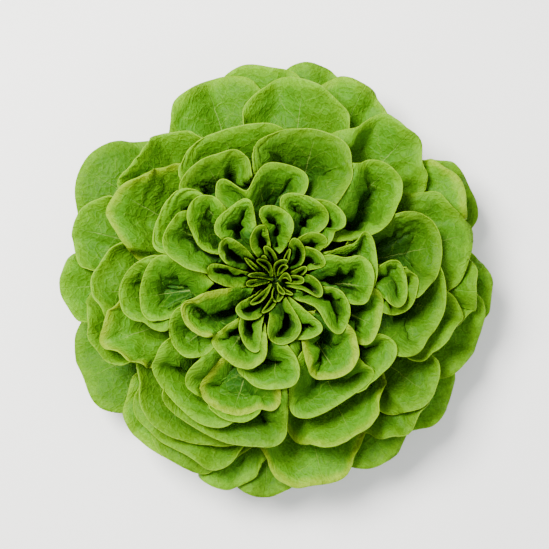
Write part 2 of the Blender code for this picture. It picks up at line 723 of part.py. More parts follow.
def main():
    empty_scene()
    leaf_green = material("leaf_green", LEAF_GREEN, LEAF_ROUGHNESS)
    heart_green = material("heart_green", HEART_GREEN, LEAF_ROUGHNESS)
    stem_pale = material("stem_pale", STEM_PALE, STEM_ROUGHNESS)
    fused = make_leaves(leaf_green)
    lowest = min(faces_of_blade(*grids)[1][0, :, 2].min() for _, *grids in fused)
    split = lowest - ROOT_COVER
    make_stem(split - STEM_GAP, stem_pale)
    make_heart(split, fused, heart_green)


main()
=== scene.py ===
"""The looks of an opened head of butterhead lettuce, seen from above on a pale ground.

The leaves of the wrapper and outer rings are laid on nested bowls, and those of the middle ring and the
heart are folded into boats. Each leaf is pressed down below the leaves that lie over it. Lengths are in
millimetres until a mesh is made.
"""
import math
from typing import NamedTuple

import bpy
import numpy as np
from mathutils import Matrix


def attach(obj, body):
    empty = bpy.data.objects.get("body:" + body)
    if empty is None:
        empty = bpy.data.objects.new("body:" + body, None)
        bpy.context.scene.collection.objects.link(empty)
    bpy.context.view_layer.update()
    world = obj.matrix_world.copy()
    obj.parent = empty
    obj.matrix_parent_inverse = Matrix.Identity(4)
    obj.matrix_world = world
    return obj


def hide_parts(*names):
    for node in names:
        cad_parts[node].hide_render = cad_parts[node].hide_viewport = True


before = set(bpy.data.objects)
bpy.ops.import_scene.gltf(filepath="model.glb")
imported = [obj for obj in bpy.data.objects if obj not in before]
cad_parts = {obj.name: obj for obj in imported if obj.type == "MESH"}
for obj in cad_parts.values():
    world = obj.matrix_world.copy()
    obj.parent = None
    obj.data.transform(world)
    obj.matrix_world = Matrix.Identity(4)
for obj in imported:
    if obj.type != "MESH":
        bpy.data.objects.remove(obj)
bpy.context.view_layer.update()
MM = 0.001

# Bowls
BOWLS = np.array([0.0, 0.25, 0.5, 0.75, 1.0, 1.3])
ROOT_RADIUS = np.array([16.0, 15.5, 14.0, 10.5, 5.5, 1.5])
ROOT_HEIGHT = np.array([6.0, 18.0, 30.0, 42.0, 54.0, 66.0])
ROOT_SLOPE = np.array([0.0, 2.0, 8.0, 18.0, 45.0, 86.0])
ROOT_REACH = np.array([45.0, 50.0, 48.0, 34.0, 13.0, 5.0])
RIM_RADIUS = np.array([143.0, 131.0, 101.0, 67.0, 28.0, 3.0])
RIM_HEIGHT = np.array([18.0, 56.0, 90.0, 108.0, 106.0, 96.0])
RIM_SLOPE = np.array([-8.0, 30.0, 66.0, 90.0, 93.0, 90.0])
RIM_REACH = np.array([45.0, 42.0, 40.0, 42.0, 32.0, 8.0])
LOWEST_BOWL, HIGHEST_BOWL, MOST_CUPPED = -0.05, 1.34, 1.12
LEAST_SPREAD = 30.0

# Blade
RIM_THICKNESS = 0.8
ROOT_EXTRA = 0.8
RIB_EXTRA = 0.8
RIB_HALF_WIDTH = 0.22
CLEARANCE = 0.9
MOST_CAP = 0.45
BLADE_TURN = math.radians(106.0)
STALK_SHARE = 0.22

# Outline of a blade
SIDE_POWER = 0.85
LOBES = ((0.05, 2.6, 1), (0.04, 6.1, 2))
CAP_FOR_WIDTH = 1.15
STALK_LEAST = 1.0
WIDENING = 1.25

# Cup, rolled rim, pleat and ruffles. A wave is its size, its rate round the margin and its phase
SIDE_START, SIDE_RUN = 0.32, 0.66
SIDE_GAIN, SIDE_CURVE = 1.15, 1.8
TIP_CURVE = 3
ROLL_START, ROLL_RUN, ROLL_CURVE = 0.66, 0.34, 1.6
ROLL_MEAN, ROLL_WAVES = 0.8, ((0.45, 2.2, 1.7),)
ROLL_ASIDE = 0.7
LEAN_TURN = math.radians(120)
PLEAT_WIDTH, PLEAT_CURVE = 0.14, 1.6
RUFFLE_CURVE = 2.6
RUFFLES = ((1.0, 2.6, 1), (0.8, 5.3, 2.1), (0.4, 9.7, 3.3))
SWAYS = ((1.0, 2.6, 1), (0.6, 5.3, 2.1))
SWAY_SHARE, SWAY_START, SWAY_RUN = 0.4, 0.1, 0.3
WIDE_LEAF = 30.0
NEAR_AXIS = 3.0
MOST_ASIDE, LEAST_ASIDE = 1.3, 0.01


class Ring(NamedTuple):
    """The cup and the ruffles of the leaves in one ring, in millimetres."""

    name: str
    side_rise: float
    tip_rise: float
    lip: float
    ruffle: float
    pleat: float
    least: float
    leaves: tuple


class Leaf(NamedTuple):
    """One leaf with its own share of the ring's cup and ruffles, its azimuth in degrees."""

    name: str
    azimuth: float
    reach: float
    half_width: float
    side_rise: float
    tip_rise: float
    lip: float
    ruffle: float
    pleat: float
    pleat_place: float
    phase: float


# Each leaf by azimuth in degrees, then how far its rim reaches from the axis and its half width
WRAPPER = Ring("wrapper", 7.0, 0.0, 9.0, 3.6, 4.0, 0.0, (
    (78, 138, 23), (357, 137, 22), (267, 134, 24), (231, 132, 24), (302, 131, 30), (26, 137, 27),
    (96, 136, 33), (254, 132, 22), (321, 134, 25), (182, 132, 27), (208, 139, 34), (150, 138, 45),
    (66, 133, 25), (243, 131, 30), (110, 133, 31), (345, 134, 32), (283, 131, 36)))
OUTER = Ring("outer", 13.0, 0.0, 8.0, 4.2, 6.0, 0.0, (
    (28, 127, 30), (315, 124, 26), (240, 128, 44), (357, 123, 25), (165, 128, 22), (196, 118, 28),
    (82, 123, 32), (48, 123, 32), (13, 121, 35), (323, 118, 24), (233, 113, 44), (184, 112, 31),
    (138, 114, 38), (201, 108, 21), (343, 109, 21), (296, 107, 36), (151, 108, 31)))
MIDDLE = Ring("middle", 28.0, 0.0, 7.0, 3.5, 5.0, 14.0, (
    (249, 102, 34), (350, 101, 30), (110, 95, 30), (233, 95, 28), (12, 100, 23), (45, 95, 18),
    (75, 91, 27), (187, 92, 19), (244, 87, 21), (121, 85, 19), (357, 84, 12), (318, 84, 19),
    (296, 82, 17), (151, 79, 19)))
INNER = Ring("inner", 32.0, 0.0, 6.0, 2.5, 3.0, 10.0, (
    (320, 72, 14), (275, 68, 19), (21, 66, 15), (357, 64, 16), (86, 64, 18), (302, 64, 8),
    (114, 63, 13), (52, 61, 15), (202, 58, 16), (234, 57, 14), (331, 57, 8), (296, 53, 8),
    (88, 52, 10), (58, 50, 8), (20, 50, 9), (125, 46, 9), (171, 46, 8), (42, 46, 8), (251, 43, 8),
    (322, 42, 8), (99, 40, 6)))
HEART = Ring("heart", 12.0, 0.0, 3.5, 1.2, 1.5, 7.0, (
    (12, 35, 9), (347, 34, 9), (50, 31, 9), (143, 31, 6), (281, 30, 8), (216, 28, 6), (262, 27, 6),
    (184, 24, 6), (68, 21, 7)))
RINGS = (WRAPPER, OUTER, MIDDLE, INNER, HEART)
LOOSE_RINGS = ("wrapper", "outer", "middle")
SEED = 7
LEAST_VARY, MOST_VARY = 0.75, 1.25
WIDTH_GAIN = 1.06
PLEAT_REACH = 0.55
LEAST_RIM, MOST_RIM = 0.9, 1.05
OUTWARD_SHARE = 0.5
MIDDLE_SHARE = 0.35
ROOF_GAP, ROOF_ROUND = 0.015, 0.015
TOP_GAP = 0.02

# Grids
LEAF_ROWS, LEAF_COLUMNS = 41, 65
FINE_ROWS, FINE_COLUMNS = 160, 260
ROW_POWER = 0.85
LEAF_SHARES = np.linspace(0, 1, LEAF_ROWS)[:, None] ** ROW_POWER
CELLS_WIDE, CELLS_SOFT = 2, 3
BELL = 1.6
BOWL_STEP = 0.01
RIM_SAMPLES, BOWL_SAMPLES, LENGTH_SAMPLES = 200, 300, 40
FIRST_RIM = 0.2
MAP_ROWS, MAP_COLUMNS = 150, 720
MAP_TOP = 1.14
ROW_STEP = MAP_TOP / (MAP_ROWS - 1)
LAST_ROW = MAP_ROWS - 1.001
COLUMN_STEP = 360.0 / MAP_COLUMNS


def smooth(x):
    x = np.clip(x, 0.0, 1.0)
    return x * x * (3.0 - 2.0 * x)


def between_bowls(values, q):
    slopes = np.gradient(values, BOWLS)
    i = np.clip(np.searchsorted(BOWLS, q, side="right") - 1, 0, len(BOWLS) - 2)
    step = BOWLS[i + 1] - BOWLS[i]
    t = (q - BOWLS[i]) / step
    start = (2 * t**3 - 3 * t**2 + 1) * values[i] + (t**3 - 2 * t**2 + t) * step * slopes[i]
    end = (3 * t**2 - 2 * t**3) * values[i + 1] + (t**3 - t**2) * step * slopes[i + 1]
    return start + end


def bowl_point(q, s):
    """Radius and height of the point s along bowl q."""
    q = np.clip(q, LOWEST_BOWL, HIGHEST_BOWL)
    r0, z0 = between_bowls(ROOT_RADIUS, q), between_bowls(ROOT_HEIGHT, q)
    r3, z3 = between_bowls(RIM_RADIUS, q), between_bowls(RIM_HEIGHT, q)
    root = np.radians(between_bowls(ROOT_SLOPE, q))
    rim = np.radians(between_bowls(RIM_SLOPE, q))
    root_reach, rim_reach = between_bowls(ROOT_REACH, q), between_bowls(RIM_REACH, q)
    r1, z1 = r0 + root_reach * np.cos(root), z0 + root_reach * np.sin(root)
    r2, z2 = r3 - rim_reach * np.cos(rim), z3 - rim_reach * np.sin(rim)
    b0, b1, b2, b3 = (1 - s) ** 3, 3 * s * (1 - s) ** 2, 3 * s**2 * (1 - s), s**3
    return b0 * r0 + b1 * r1 + b2 * r2 + b3 * r3, b0 * z0 + b1 * z1 + b2 * z2 + b3 * z3


def spread(q, s):
    """Millimetres between bowls for each unit of q."""
    ra, za = bowl_point(q - BOWL_STEP, s)
    rb, zb = bowl_point(q + BOWL_STEP, s)
    return np.maximum(np.hypot(rb - ra, zb - za) / (2 * BOWL_STEP), LEAST_SPREAD)


def rim_place(q, reach):
    """The s at which bowl q is this far from the axis."""
    s = np.linspace(FIRST_RIM, MOST_CUPPED, RIM_SAMPLES)
    radius, _ = bowl_point(np.full_like(s, q), s)
    return float(np.interp(reach, np.maximum.accumulate(radius), s))


def bowl_of(reach):
    """The bowl whose rim lies this far from the axis."""
    q = np.linspace(0.0, HIGHEST_BOWL, BOWL_SAMPLES)
    return float(np.interp(-reach, -between_bowls(RIM_RADIUS, q), q))


def bowl_length(q, s):
    """The length along bowl q from the stem to s."""
    steps = np.linspace(0.0, s, LENGTH_SAMPLES)
    radius, height = bowl_point(np.full_like(steps, q), steps)
    return float(np.hypot(np.diff(radius), np.diff(height)).sum())


def in_space(s, theta, q):
    radius, height = bowl_point(q, s)
    return np.stack([radius * np.cos(theta), radius * np.sin(theta), height], -1)


def root_thickness(a, b):
    rib = RIB_EXTRA * (1 - a) * np.exp(-((b / RIB_HALF_WIDTH) ** 2))
    return RIM_THICKNESS + ROOT_EXTRA * (1 - a) ** 2 + rib


def all_leaves():
    draw = np.random.default_rng(SEED)
    found = []
    for ring in RINGS:
        for k, (azimuth, reach, half_width) in enumerate(ring.leaves):
            side, tip, lip, ruffle, pleat = draw.uniform(LEAST_VARY, MOST_VARY, 5)
            found.append(Leaf(
                name=f"{ring.name}_leaf_{k + 1:02d}",
                azimuth=azimuth,
                reach=reach,
                half_width=max(WIDTH_GAIN * half_width, ring.least),
                side_rise=ring.side_rise * side,
                tip_rise=ring.tip_rise * tip,
                lip=ring.lip * lip,
                ruffle=ring.ruffle * ruffle,
                pleat=ring.pleat * (pleat - 1.0) / (MOST_VARY - 1.0),
                pleat_place=draw.uniform(-PLEAT_REACH, PLEAT_REACH),
                phase=draw.uniform(0.0, 2 * math.pi)))
    return found


def waves(shape, terms, psi, phase, level=0.0):
    return sum((size * shape(rate * psi + turns * phase) for size, rate, turns in terms), level)


def draw_leaf(leaf, bowl, rim, a, b):
    """s, theta and q of a leaf before it is laid on the others. a runs from root to rim, b across."""
    psi = b * BLADE_TURN
    edge = np.abs(b)
    lobes = waves(np.sin, LOBES, psi, leaf.phase, 1.0)
    across = leaf.half_width * np.sign(psi) * np.abs(np.sin(psi)) ** SIDE_POWER * lobes
    cap = min(MOST_CAP, CAP_FOR_WIDTH * leaf.half_width / bowl_length(bowl, rim))
    along = 1 - cap + cap * np.cos(psi) * lobes
    stalk = STALK_SHARE * leaf.half_width + STALK_LEAST
    x = b * stalk + (across - b * stalk) * a**WIDENING
    s = along * a * rim

    side = smooth((edge - SIDE_START) / SIDE_RUN)
    rise = leaf.side_rise * side * np.minimum(1, SIDE_GAIN * a) ** SIDE_CURVE
    rise = rise + leaf.tip_rise * (1 - side) * a**TIP_CURVE
    roll = leaf.lip * np.clip((a - ROLL_START) / ROLL_RUN, 0, 1) ** ROLL_CURVE
    roll = roll * waves(np.sin, ROLL_WAVES, psi, leaf.phase, ROLL_MEAN)
    lean = np.clip(psi / LEAN_TURN, -1, 1) * math.pi / 2
    pleat = leaf.pleat * np.exp(-(((b - leaf.pleat_place) / PLEAT_WIDTH) ** 2)) * a**PLEAT_CURVE
    ruffle = leaf.ruffle * a**RUFFLE_CURVE
    lift = rise - roll * np.cos(lean) + pleat + ruffle * waves(np.sin, RUFFLES, psi, leaf.phase)

    sway = SWAY_SHARE * ruffle * min(1.0, leaf.half_width / WIDE_LEAF)
    sway = sway * waves(np.cos, SWAYS, psi, leaf.phase) * smooth((edge - SWAY_START) / SWAY_RUN)
    radius, _ = bowl_point(np.full_like(s, bowl), s)
    aside = (x + sway + ROLL_ASIDE * roll * np.sin(lean)) / np.maximum(radius, NEAR_AXIS)
    aside = np.sort(np.clip(aside, -MOST_ASIDE, MOST_ASIDE), axis=1) + LEAST_ASIDE * b
    theta = math.radians(leaf.azimuth) + aside
    return s, theta, bowl + lift / spread(np.full_like(s, bowl), s)


def widened(field, cells, wrap):
    """The largest value within so many cells, along both axes."""
    best = field
    for k in range(1, cells + 1):
        for way in (k, -k):
            moved = np.roll(field, way, 1)
            if not wrap and way > 0:
                moved[:, :way] = field[:, :1]
            if not wrap and way < 0:
                moved[:, way:] = field[:, -1:]
            best = np.maximum(best, moved)
    out = best
    for k in range(1, cells + 1):
        above = np.vstack([best[k:], np.repeat(best[-1:], k, 0)])
        below = np.vstack([np.repeat(best[:1], k, 0), best[:-k]])
        out = np.maximum(out, np.maximum(above, below))
    return out


def softened(field, cells, wrap):
    """The mean over a bell of so many cells each way."""
    reach = np.arange(-cells, cells + 1)
    bell = np.exp(-((BELL * reach / cells) ** 2))
    bell = bell / bell.sum()
    sides = np.pad(field, ((0, 0), (cells, cells)), mode="wrap" if wrap else "edge")
    field = sum(w * sides[:, k:k + field.shape[1]] for k, w in enumerate(bell))
    ends = np.pad(field, ((cells, cells), (0, 0)), mode="edge")
    return sum(w * ends[k:k + field.shape[0]] for k, w in enumerate(bell))


def read_map(field, s, theta):
    y = np.clip(s / ROW_STEP, 0, LAST_ROW)
    x = (np.degrees(theta) / COLUMN_STEP) % MAP_COLUMNS
    i = y.astype(int)
    j = x.astype(int) % MAP_COLUMNS
    right = (j + 1) % MAP_COLUMNS
    v, u = y - i, x - np.floor(x)
    near = (1 - u) * field[i, j] + u * field[i, right]
    far = (1 - u) * field[i + 1, j] + u * field[i + 1, right]
    return (1 - v) * near + v * far


def resampled(grid, rows, columns):
    """The same grid at other shares of its rows and columns."""
    y = np.asarray(rows) * (grid.shape[0] - 1)
    x = np.asarray(columns) * (grid.shape[1] - 1)
    i = np.minimum(y.astype(int), grid.shape[0] - 2)
    j = np.minimum(x.astype(int), grid.shape[1] - 2)
    v, u = (y - i)[:, None], (x - j)[None, :]
    near = (1 - u) * grid[np.ix_(i, j)] + u * grid[np.ix_(i, j + 1)]
    far = (1 - u) * grid[np.ix_(i + 1, j)] + u * grid[np.ix_(i + 1, j + 1)]
    return (1 - v) * near + v * far


def map_cells(s, theta):
    i = np.clip(np.round(s / ROW_STEP).astype(int), 0, MAP_ROWS - 1)
    j = np.round(np.degrees(theta) / COLUMN_STEP).astype(int) % MAP_COLUMNS
    return i, j


def laid_leaves():
    """Every leaf as grids of s, theta and q, from the outermost in.

    A leaf is cupped only as far as the leaves inside it leave room, then laid clear of those outside it.
    """
    leaves = sorted(all_leaves(), key=lambda leaf: -leaf.reach)
    a, b = np.meshgrid(LEAF_SHARES[:, 0], np.linspace(-1, 1, LEAF_COLUMNS), indexing="ij")
    fine_rows, fine_columns = np.linspace(0, 1, FINE_ROWS), np.linspace(0, 1, FINE_COLUMNS)
    middle = np.abs(2 * fine_columns - 1) < MIDDLE_SHARE
    drawn = []
    roof = np.full((MAP_ROWS, MAP_COLUMNS), HIGHEST_BOWL)
    for leaf in reversed(leaves):
        bowl = bowl_of(leaf.reach)
        outward = leaf.lip * math.sin(math.radians(between_bowls(RIM_SLOPE, bowl)))
        rim = np.clip(rim_place(bowl, leaf.reach - OUTWARD_SHARE * outward), LEAST_RIM, MOST_RIM)
        s, theta, q = draw_leaf(leaf, bowl, rim, a, b)
        above = softened(-widened(-roof, CELLS_WIDE, True), CELLS_SOFT, True)
        room = np.maximum(np.minimum(read_map(above, s, theta), MOST_CUPPED) - ROOF_GAP, bowl)
        q = 0.5 * (q + room - np.sqrt((q - room) ** 2 + ROOF_ROUND**2))
        drawn.append((leaf, s, theta, q))
        i, j = map_cells(
            resampled(s, fine_rows, fine_columns)[:, middle],
            resampled(theta, fine_rows, fine_columns)[:, middle])
        np.minimum.at(roof, (i, j), bowl)
    highest = np.full((MAP_ROWS, MAP_COLUMNS), LOWEST_BOWL)
    laid = []
    for leaf, s, theta, q in reversed(drawn):
        below = softened(widened(highest, CELLS_WIDE, True), CELLS_SOFT, True)
        gap = (root_thickness(a, b) + CLEARANCE) / spread(q, s)
        short = np.maximum(read_map(below, s, theta) + gap - q, 0.0)
        push = softened(widened(short, CELLS_WIDE, False), CELLS_SOFT, False)
        q = q + np.maximum(push, short)
        if q.max() > HIGHEST_BOWL - TOP_GAP:
            continue
        laid.append((leaf, s, theta, q))
        i, j = map_cells(
            resampled(s, fine_rows, fine_columns), resampled(theta, fine_rows, fine_columns))
        np.maximum.at(highest, (i, j), resampled(q, fine_rows, fine_columns))
    return laid


class Boat(NamedTuple):
    """An inner leaf folded into a boat. Its bow is how far it bends sideways, its drop is below the dome."""

    azimuth: float
    inner: float
    tip: float
    half_width: float
    drop: float
    notch_place: float
    notch_depth: float
    bow: float


class Foot(NamedTuple):
    """Where boats are rooted, and how steeply their keels climb outwards."""

    radius: float
    height: float
    climb: float


# Boats of the heart: azimuth, radius of the inner end and of the tip, half width, drop, notch and bow
HEART_BOATS = tuple(Boat(*row) for row in (
    (152, 15, 72, 14, 0, 0.3, 0, 4), (187, 34, 82, 17, 4, 0.35, 2, -3), (201, 12, 58, 13, 0, 0, 0, 7),
    (172, 8, 40, 6, 3, 0, 0, 2), (236, 20, 56, 14, 1, 0.4, 2, 6), (270, 26, 65, 16, 2, -0.3, 3, -6),
    (303, 24, 68, 16, 2, 0.4, 2, 7), (297, 44, 84, 25, 7, 0.5, 4, 0), (356, 10, 58, 13, 0, 0.5, 2, 6),
    (359, 55, 78, 12, 3, 0, 0, 0), (17, 22, 62, 15, 3, 0.4, 4, -6), (48, 16, 55, 15, 1, -0.4, 4, 7),
    (134, 25, 67, 12, 4, 0.3, 0, 6), (100, 28, 71, 25, 5, 0.1, 17, 0), (72, 18, 54, 13, 3, 0.5, 3, -3),
    (120, 18, 52, 11, 0, 0, 0, 4), (93, 16, 43, 9, 3, 0, 0, -3), (143, 10, 40, 6, 2, 0, 0, 3),
    (104, 6, 34, 5, 2, 0, 0, 4), (271, 6, 38, 8.5, 0, 0, 0, 5), (306, 8, 41, 8, 1, 0, 0, -5),
    (327, 12, 50, 9, 1, 0.4, 2, 6), (342, 5, 29, 4.5, 2, 0, 0, 4), (64, 5, 28, 5, 3, 0, 0, -4),
    (220, 6, 31, 5.5, 3, 0, 0, 4), (22, 6, 32, 6, 2, 0, 0, 5), (250, 8, 44, 6.5, 3, 0, 0, -5),
    (40, 9, 38, 6.5, 4, 0, 0, 4), (335, 30, 68, 14, 6, 0, 0, 4), (215, 28, 71, 15, 6, 0, 0, -5),
    (252, 42, 84, 22, 7, 0.2, 4, 0)))
DOME_RADIUS = np.array([0.0, 5.0, 15.0, 30.0, 50.0, 67.0, 80.0, 101.0, 112.0])
DOME_HEIGHT = np.array([67.0, 71.0, 83.0, 93.5, 97.0, 96.0, 92.0, 82.0, 75.0])
INNER_LIFT, LIFTED_WITHIN = 0.07, 60.0
WIDER_HEART, HEART_THICK, HEART_BLISTERS = 1.22, 0.55, 0.35
# Heart leaves get a random brightness, lowered on leaves shorter than the second value: painted shade on the
# sunken centre
HEART_TONES, SHADE_FREE_TIP = (0.65, 1.0), 55.0
BOAT_SEED = 100

# Crumpled leaves round the growing point
CRUMPLED, CRUMPLED_TURN, CRUMPLED_STRAY = 18, 137.5, 14
CRUMPLED_INNER, CRUMPLED_TIP, CRUMPLED_WIDTH = (1.0, 4.0), (9.0, 25.0), (1.0, 2.6)
CRUMPLED_DROP, CRUMPLED_BOW = (3.0, 9.0), 4.0

# Boats of the middle ring
MIDDLE_INNER, BEYOND_REACH, WIDER_MIDDLE = 0.36, 1, 1.2
MIDDLE_DROP, MIDDLE_NOTCH, MIDDLE_BOW, MIDDLE_THICK = 2.0, 3.0, 3, 0.6

# Grids of the boats, by rows and columns
BOAT_GRID, SMALL_GRID, SMALL_TIP = (37, 81), (25, 51), 33.0
BOAT_ROW_POWER = 1.3

# Rim of a boat. Each pair of waves has the size of the slow one, then of the quick one
BOAT_TURN = 0.93
TIP_POWER, SIDE_ROUND = 0.85, 0.95
INNER_WIDTH, TIP_WIDTH = 0.62, 0.5
FULL_WAVES, WAVED_WIDTH = 12, 14.0
LONG_WAVE, SHORT_WAVE, HALF_RATE = (32.0, 44.0), (10.0, 14.0), 0.5
INWARD_WAVES, RISING_WAVES = (1.4, 0.5), (2.0, 0.9)
CRIMP_LEAST, CRIMP_START, CRIMP_RUN = 0.3, 0.1, 0.4
NOTCH_WIDTH = 0.11
LEAN_RUN, LEAN_LIFT = 0.5, 3.0

# Lip of a boat, in shares of its half width, and its ripple in millimetres
LIP_MEAN, LIP_VARY, LIP_RATE, LIP_LEAN = 0.54, 0.17, 0.7, 0.5
LEAST_LIP, MOST_LIP = 0.15, 0.8
RIPPLE_SHARE, MOST_RIPPLE = 0.12, 2.0
SECOND_RIPPLE, SECOND_RATE = 0.6, 1.6

# Walls, keel and stalk of a boat
FUNNEL_DEPTH, FUNNEL_STRAIGHT = 0.85, 0.5
KEEL_SHARE, KEEL_WIDTH, KEEL_DIP, DIP_REACH = 0.66, 0.25, 4, 10
STALK_PART, WALL_PART = 0.2, 0.55
WALL_SPREAD, WALL_RISE = 0.5, 1.15
FOLD_SHARE, MOST_FOLD = 0.09, 1.8
FOOT_HALF_WIDTH, FOOT_SINK = 1.5, 2
HEART_FOOT, MIDDLE_FOOT = Foot(8.0, 48.0, 0.72), Foot(12.0, 33.0, 0.60)

# Leaves of the wrapper and outer rings. A frill is its height, its longest wave and where it starts
LEAF_SEED = 500
LEAF_TONES = (0.52, 0.97)
BASE_SPREAD = 1.6
MARGIN_THICK, BASE_THICK = 0.55, 0.9
FRILLS, FRILL_VARY = ((1.5, 64.0, 5.0), (0.3, 24.0, 8.0)), (0.7, 1.0)
LEAF_BLISTERS, BLISTER_WAVES, BLISTER_LENGTH, BLISTER_START = 0.5, 7, (7.0, 16.0), 3

# What lies over a leaf, as heights over a square plan
PLAN_REACH, PLAN_STEP, PLAN_CELLS = 150.0, 1.0, 301
NOTHING_OVER = 130.0
COVER_WIDE, COVER_SOFT, COVER_GAP, COVER_ROUND = 1, 2, 1.0, 1.5
COVER_FROM, COVER_ROWS, COVER_COLUMNS = 0.15, 160, 240
LEAST_TUCK = {"heart": 38.0, "middle": 27.0, "outer": 20.0, "wrapper": 9.0}

# Lengths that the leaf materials read, in millimetres. The distance from the margin, counted longer towards
# the root, sets the painted light near the margin and the painted shade far down in the cup
SIDE_WEIGHT, ROOT_WEIGHT, TONE_SHIFT = 1.5, 40, 60
# The core of the heart reads as far from any margin and dark, so it is painted in shade
CORE_SHADE_RIM, CORE_SHADE_TONE, CORE_SHIFT = 60.0, 0.3, 30.0
TINY = 1e-9


def unit(vectors):
    return vectors / np.maximum(np.linalg.norm(vectors, axis=-1, keepdims=True), TINY)


def normals(grid):
    return unit(np.cross(np.gradient(grid, axis=0), np.gradient(grid, axis=1)))


def lengths(grid, axis):
    """The distance of each point from the first on its grid line."""
    first = np.take(grid, [0], axis)
    return np.cumsum(np.linalg.norm(np.diff(grid, axis=axis, prepend=first), axis=-1), axis=axis)


def row_shares(grid):
    return np.linspace(0, 1, grid.shape[0])[:, None]


def crumpled_centre():
    """The smallest leaves, set round the growing point by the turn that leaves themselves keep."""
    draw = np.random.default_rng(BOAT_SEED - 1)
    return tuple(
        Boat(
            azimuth=CRUMPLED_TURN * k + draw.uniform(-CRUMPLED_STRAY, CRUMPLED_STRAY),
            inner=draw.uniform(*CRUMPLED_INNER),
            tip=draw.uniform(*CRUMPLED_TIP),
            half_width=draw.uniform(*CRUMPLED_WIDTH),
            drop=draw.uniform(*CRUMPLED_DROP),
            notch_place=0.0,
            notch_depth=0.0,
            bow=draw.uniform(-CRUMPLED_BOW, CRUMPLED_BOW))
        for k in range(CRUMPLED))


def middle_boat(leaf, draw):
    return Boat(
        azimuth=leaf.azimuth,
        inner=MIDDLE_INNER * leaf.reach,
        tip=leaf.reach + BEYOND_REACH,
        half_width=WIDER_MIDDLE * leaf.half_width,
        drop=MIDDLE_DROP,
        notch_place=leaf.pleat_place,
        notch_depth=MIDDLE_NOTCH,
        bow=draw.uniform(-MIDDLE_BOW, MIDDLE_BOW))


def boat_rim(boat, b, draw):
    """The egg-shaped rim with u outwards and v across, its way out, the width of its lip and its ripple."""
    phase = draw.uniform(0, 2 * math.pi, 8)
    small = min(1.0, boat.half_width / FULL_WAVES)
    length = boat.tip - boat.inner
    turn = math.pi * np.abs(b) * BOAT_TURN
    ahead = (1 + np.cos(turn)) / 2
    u = boat.inner + length * ahead**TIP_POWER
    v = np.sign(b) * boat.half_width * np.sin(turn) ** SIDE_ROUND * (INNER_WIDTH + TIP_WIDTH * ahead)
    tangent = unit(np.stack([np.gradient(u, axis=1), np.gradient(v, axis=1)], -1))
    out_u, out_v = tangent[..., 1], -tangent[..., 0]

    around = b * (length + boat.half_width)
    stretch = math.sqrt(max(1.0, boat.half_width / WAVED_WIDTH))
    slow = 2 * math.pi * around / (stretch * draw.uniform(*LONG_WAVE))
    quick = 2 * math.pi * around / (stretch * draw.uniform(*SHORT_WAVE))
    crimp = CRIMP_LEAST + (1 - CRIMP_LEAST) * smooth((np.abs(b) - CRIMP_START) / CRIMP_RUN)

    def waved(sizes, first):
        quicker = sizes[1] * crimp * np.sin(HALF_RATE * quick + phase[first + 1])
        return small * (sizes[0] * np.sin(slow + phase[first]) + quicker)

    notch = boat.notch_depth * np.exp(-(((b - boat.notch_place) / NOTCH_WIDTH) ** 2))
    inset = waved(INWARD_WAVES, 0) - notch
    lean = np.sin(phase[2]) * np.sign(b) * smooth(np.abs(b) / LEAN_RUN)
    lift = waved(RISING_WAVES, 2) + LEAN_LIFT * small * lean

    ripple = np.sin(quick + phase[5]) + SECOND_RIPPLE * np.sin(SECOND_RATE * quick + phase[6])
    lip = boat.half_width * (LIP_MEAN + LIP_VARY * np.sin(LIP_RATE * slow + phase[4]))
    lip = lip * (1 + LIP_LEAN * lean)
    lip = lip + min(RIPPLE_SHARE * boat.half_width, MOST_RIPPLE) * crimp * ripple
    lip = np.clip(lip, LEAST_LIP * boat.half_width, MOST_LIP * boat.half_width)

    u, v = u + out_u * inset, v + out_v * inset
    v = v + boat.bow * np.sin(math.pi * np.clip((u - boat.inner) / length, 0, 1))
    dome = np.interp(np.hypot(u, v), DOME_RADIUS, DOME_HEIGHT)
    z = dome - boat.drop + lift + INNER_LIFT * (LIFTED_WITHIN - boat.tip)
    return u, v, z, out_u, out_v, lip, ripple


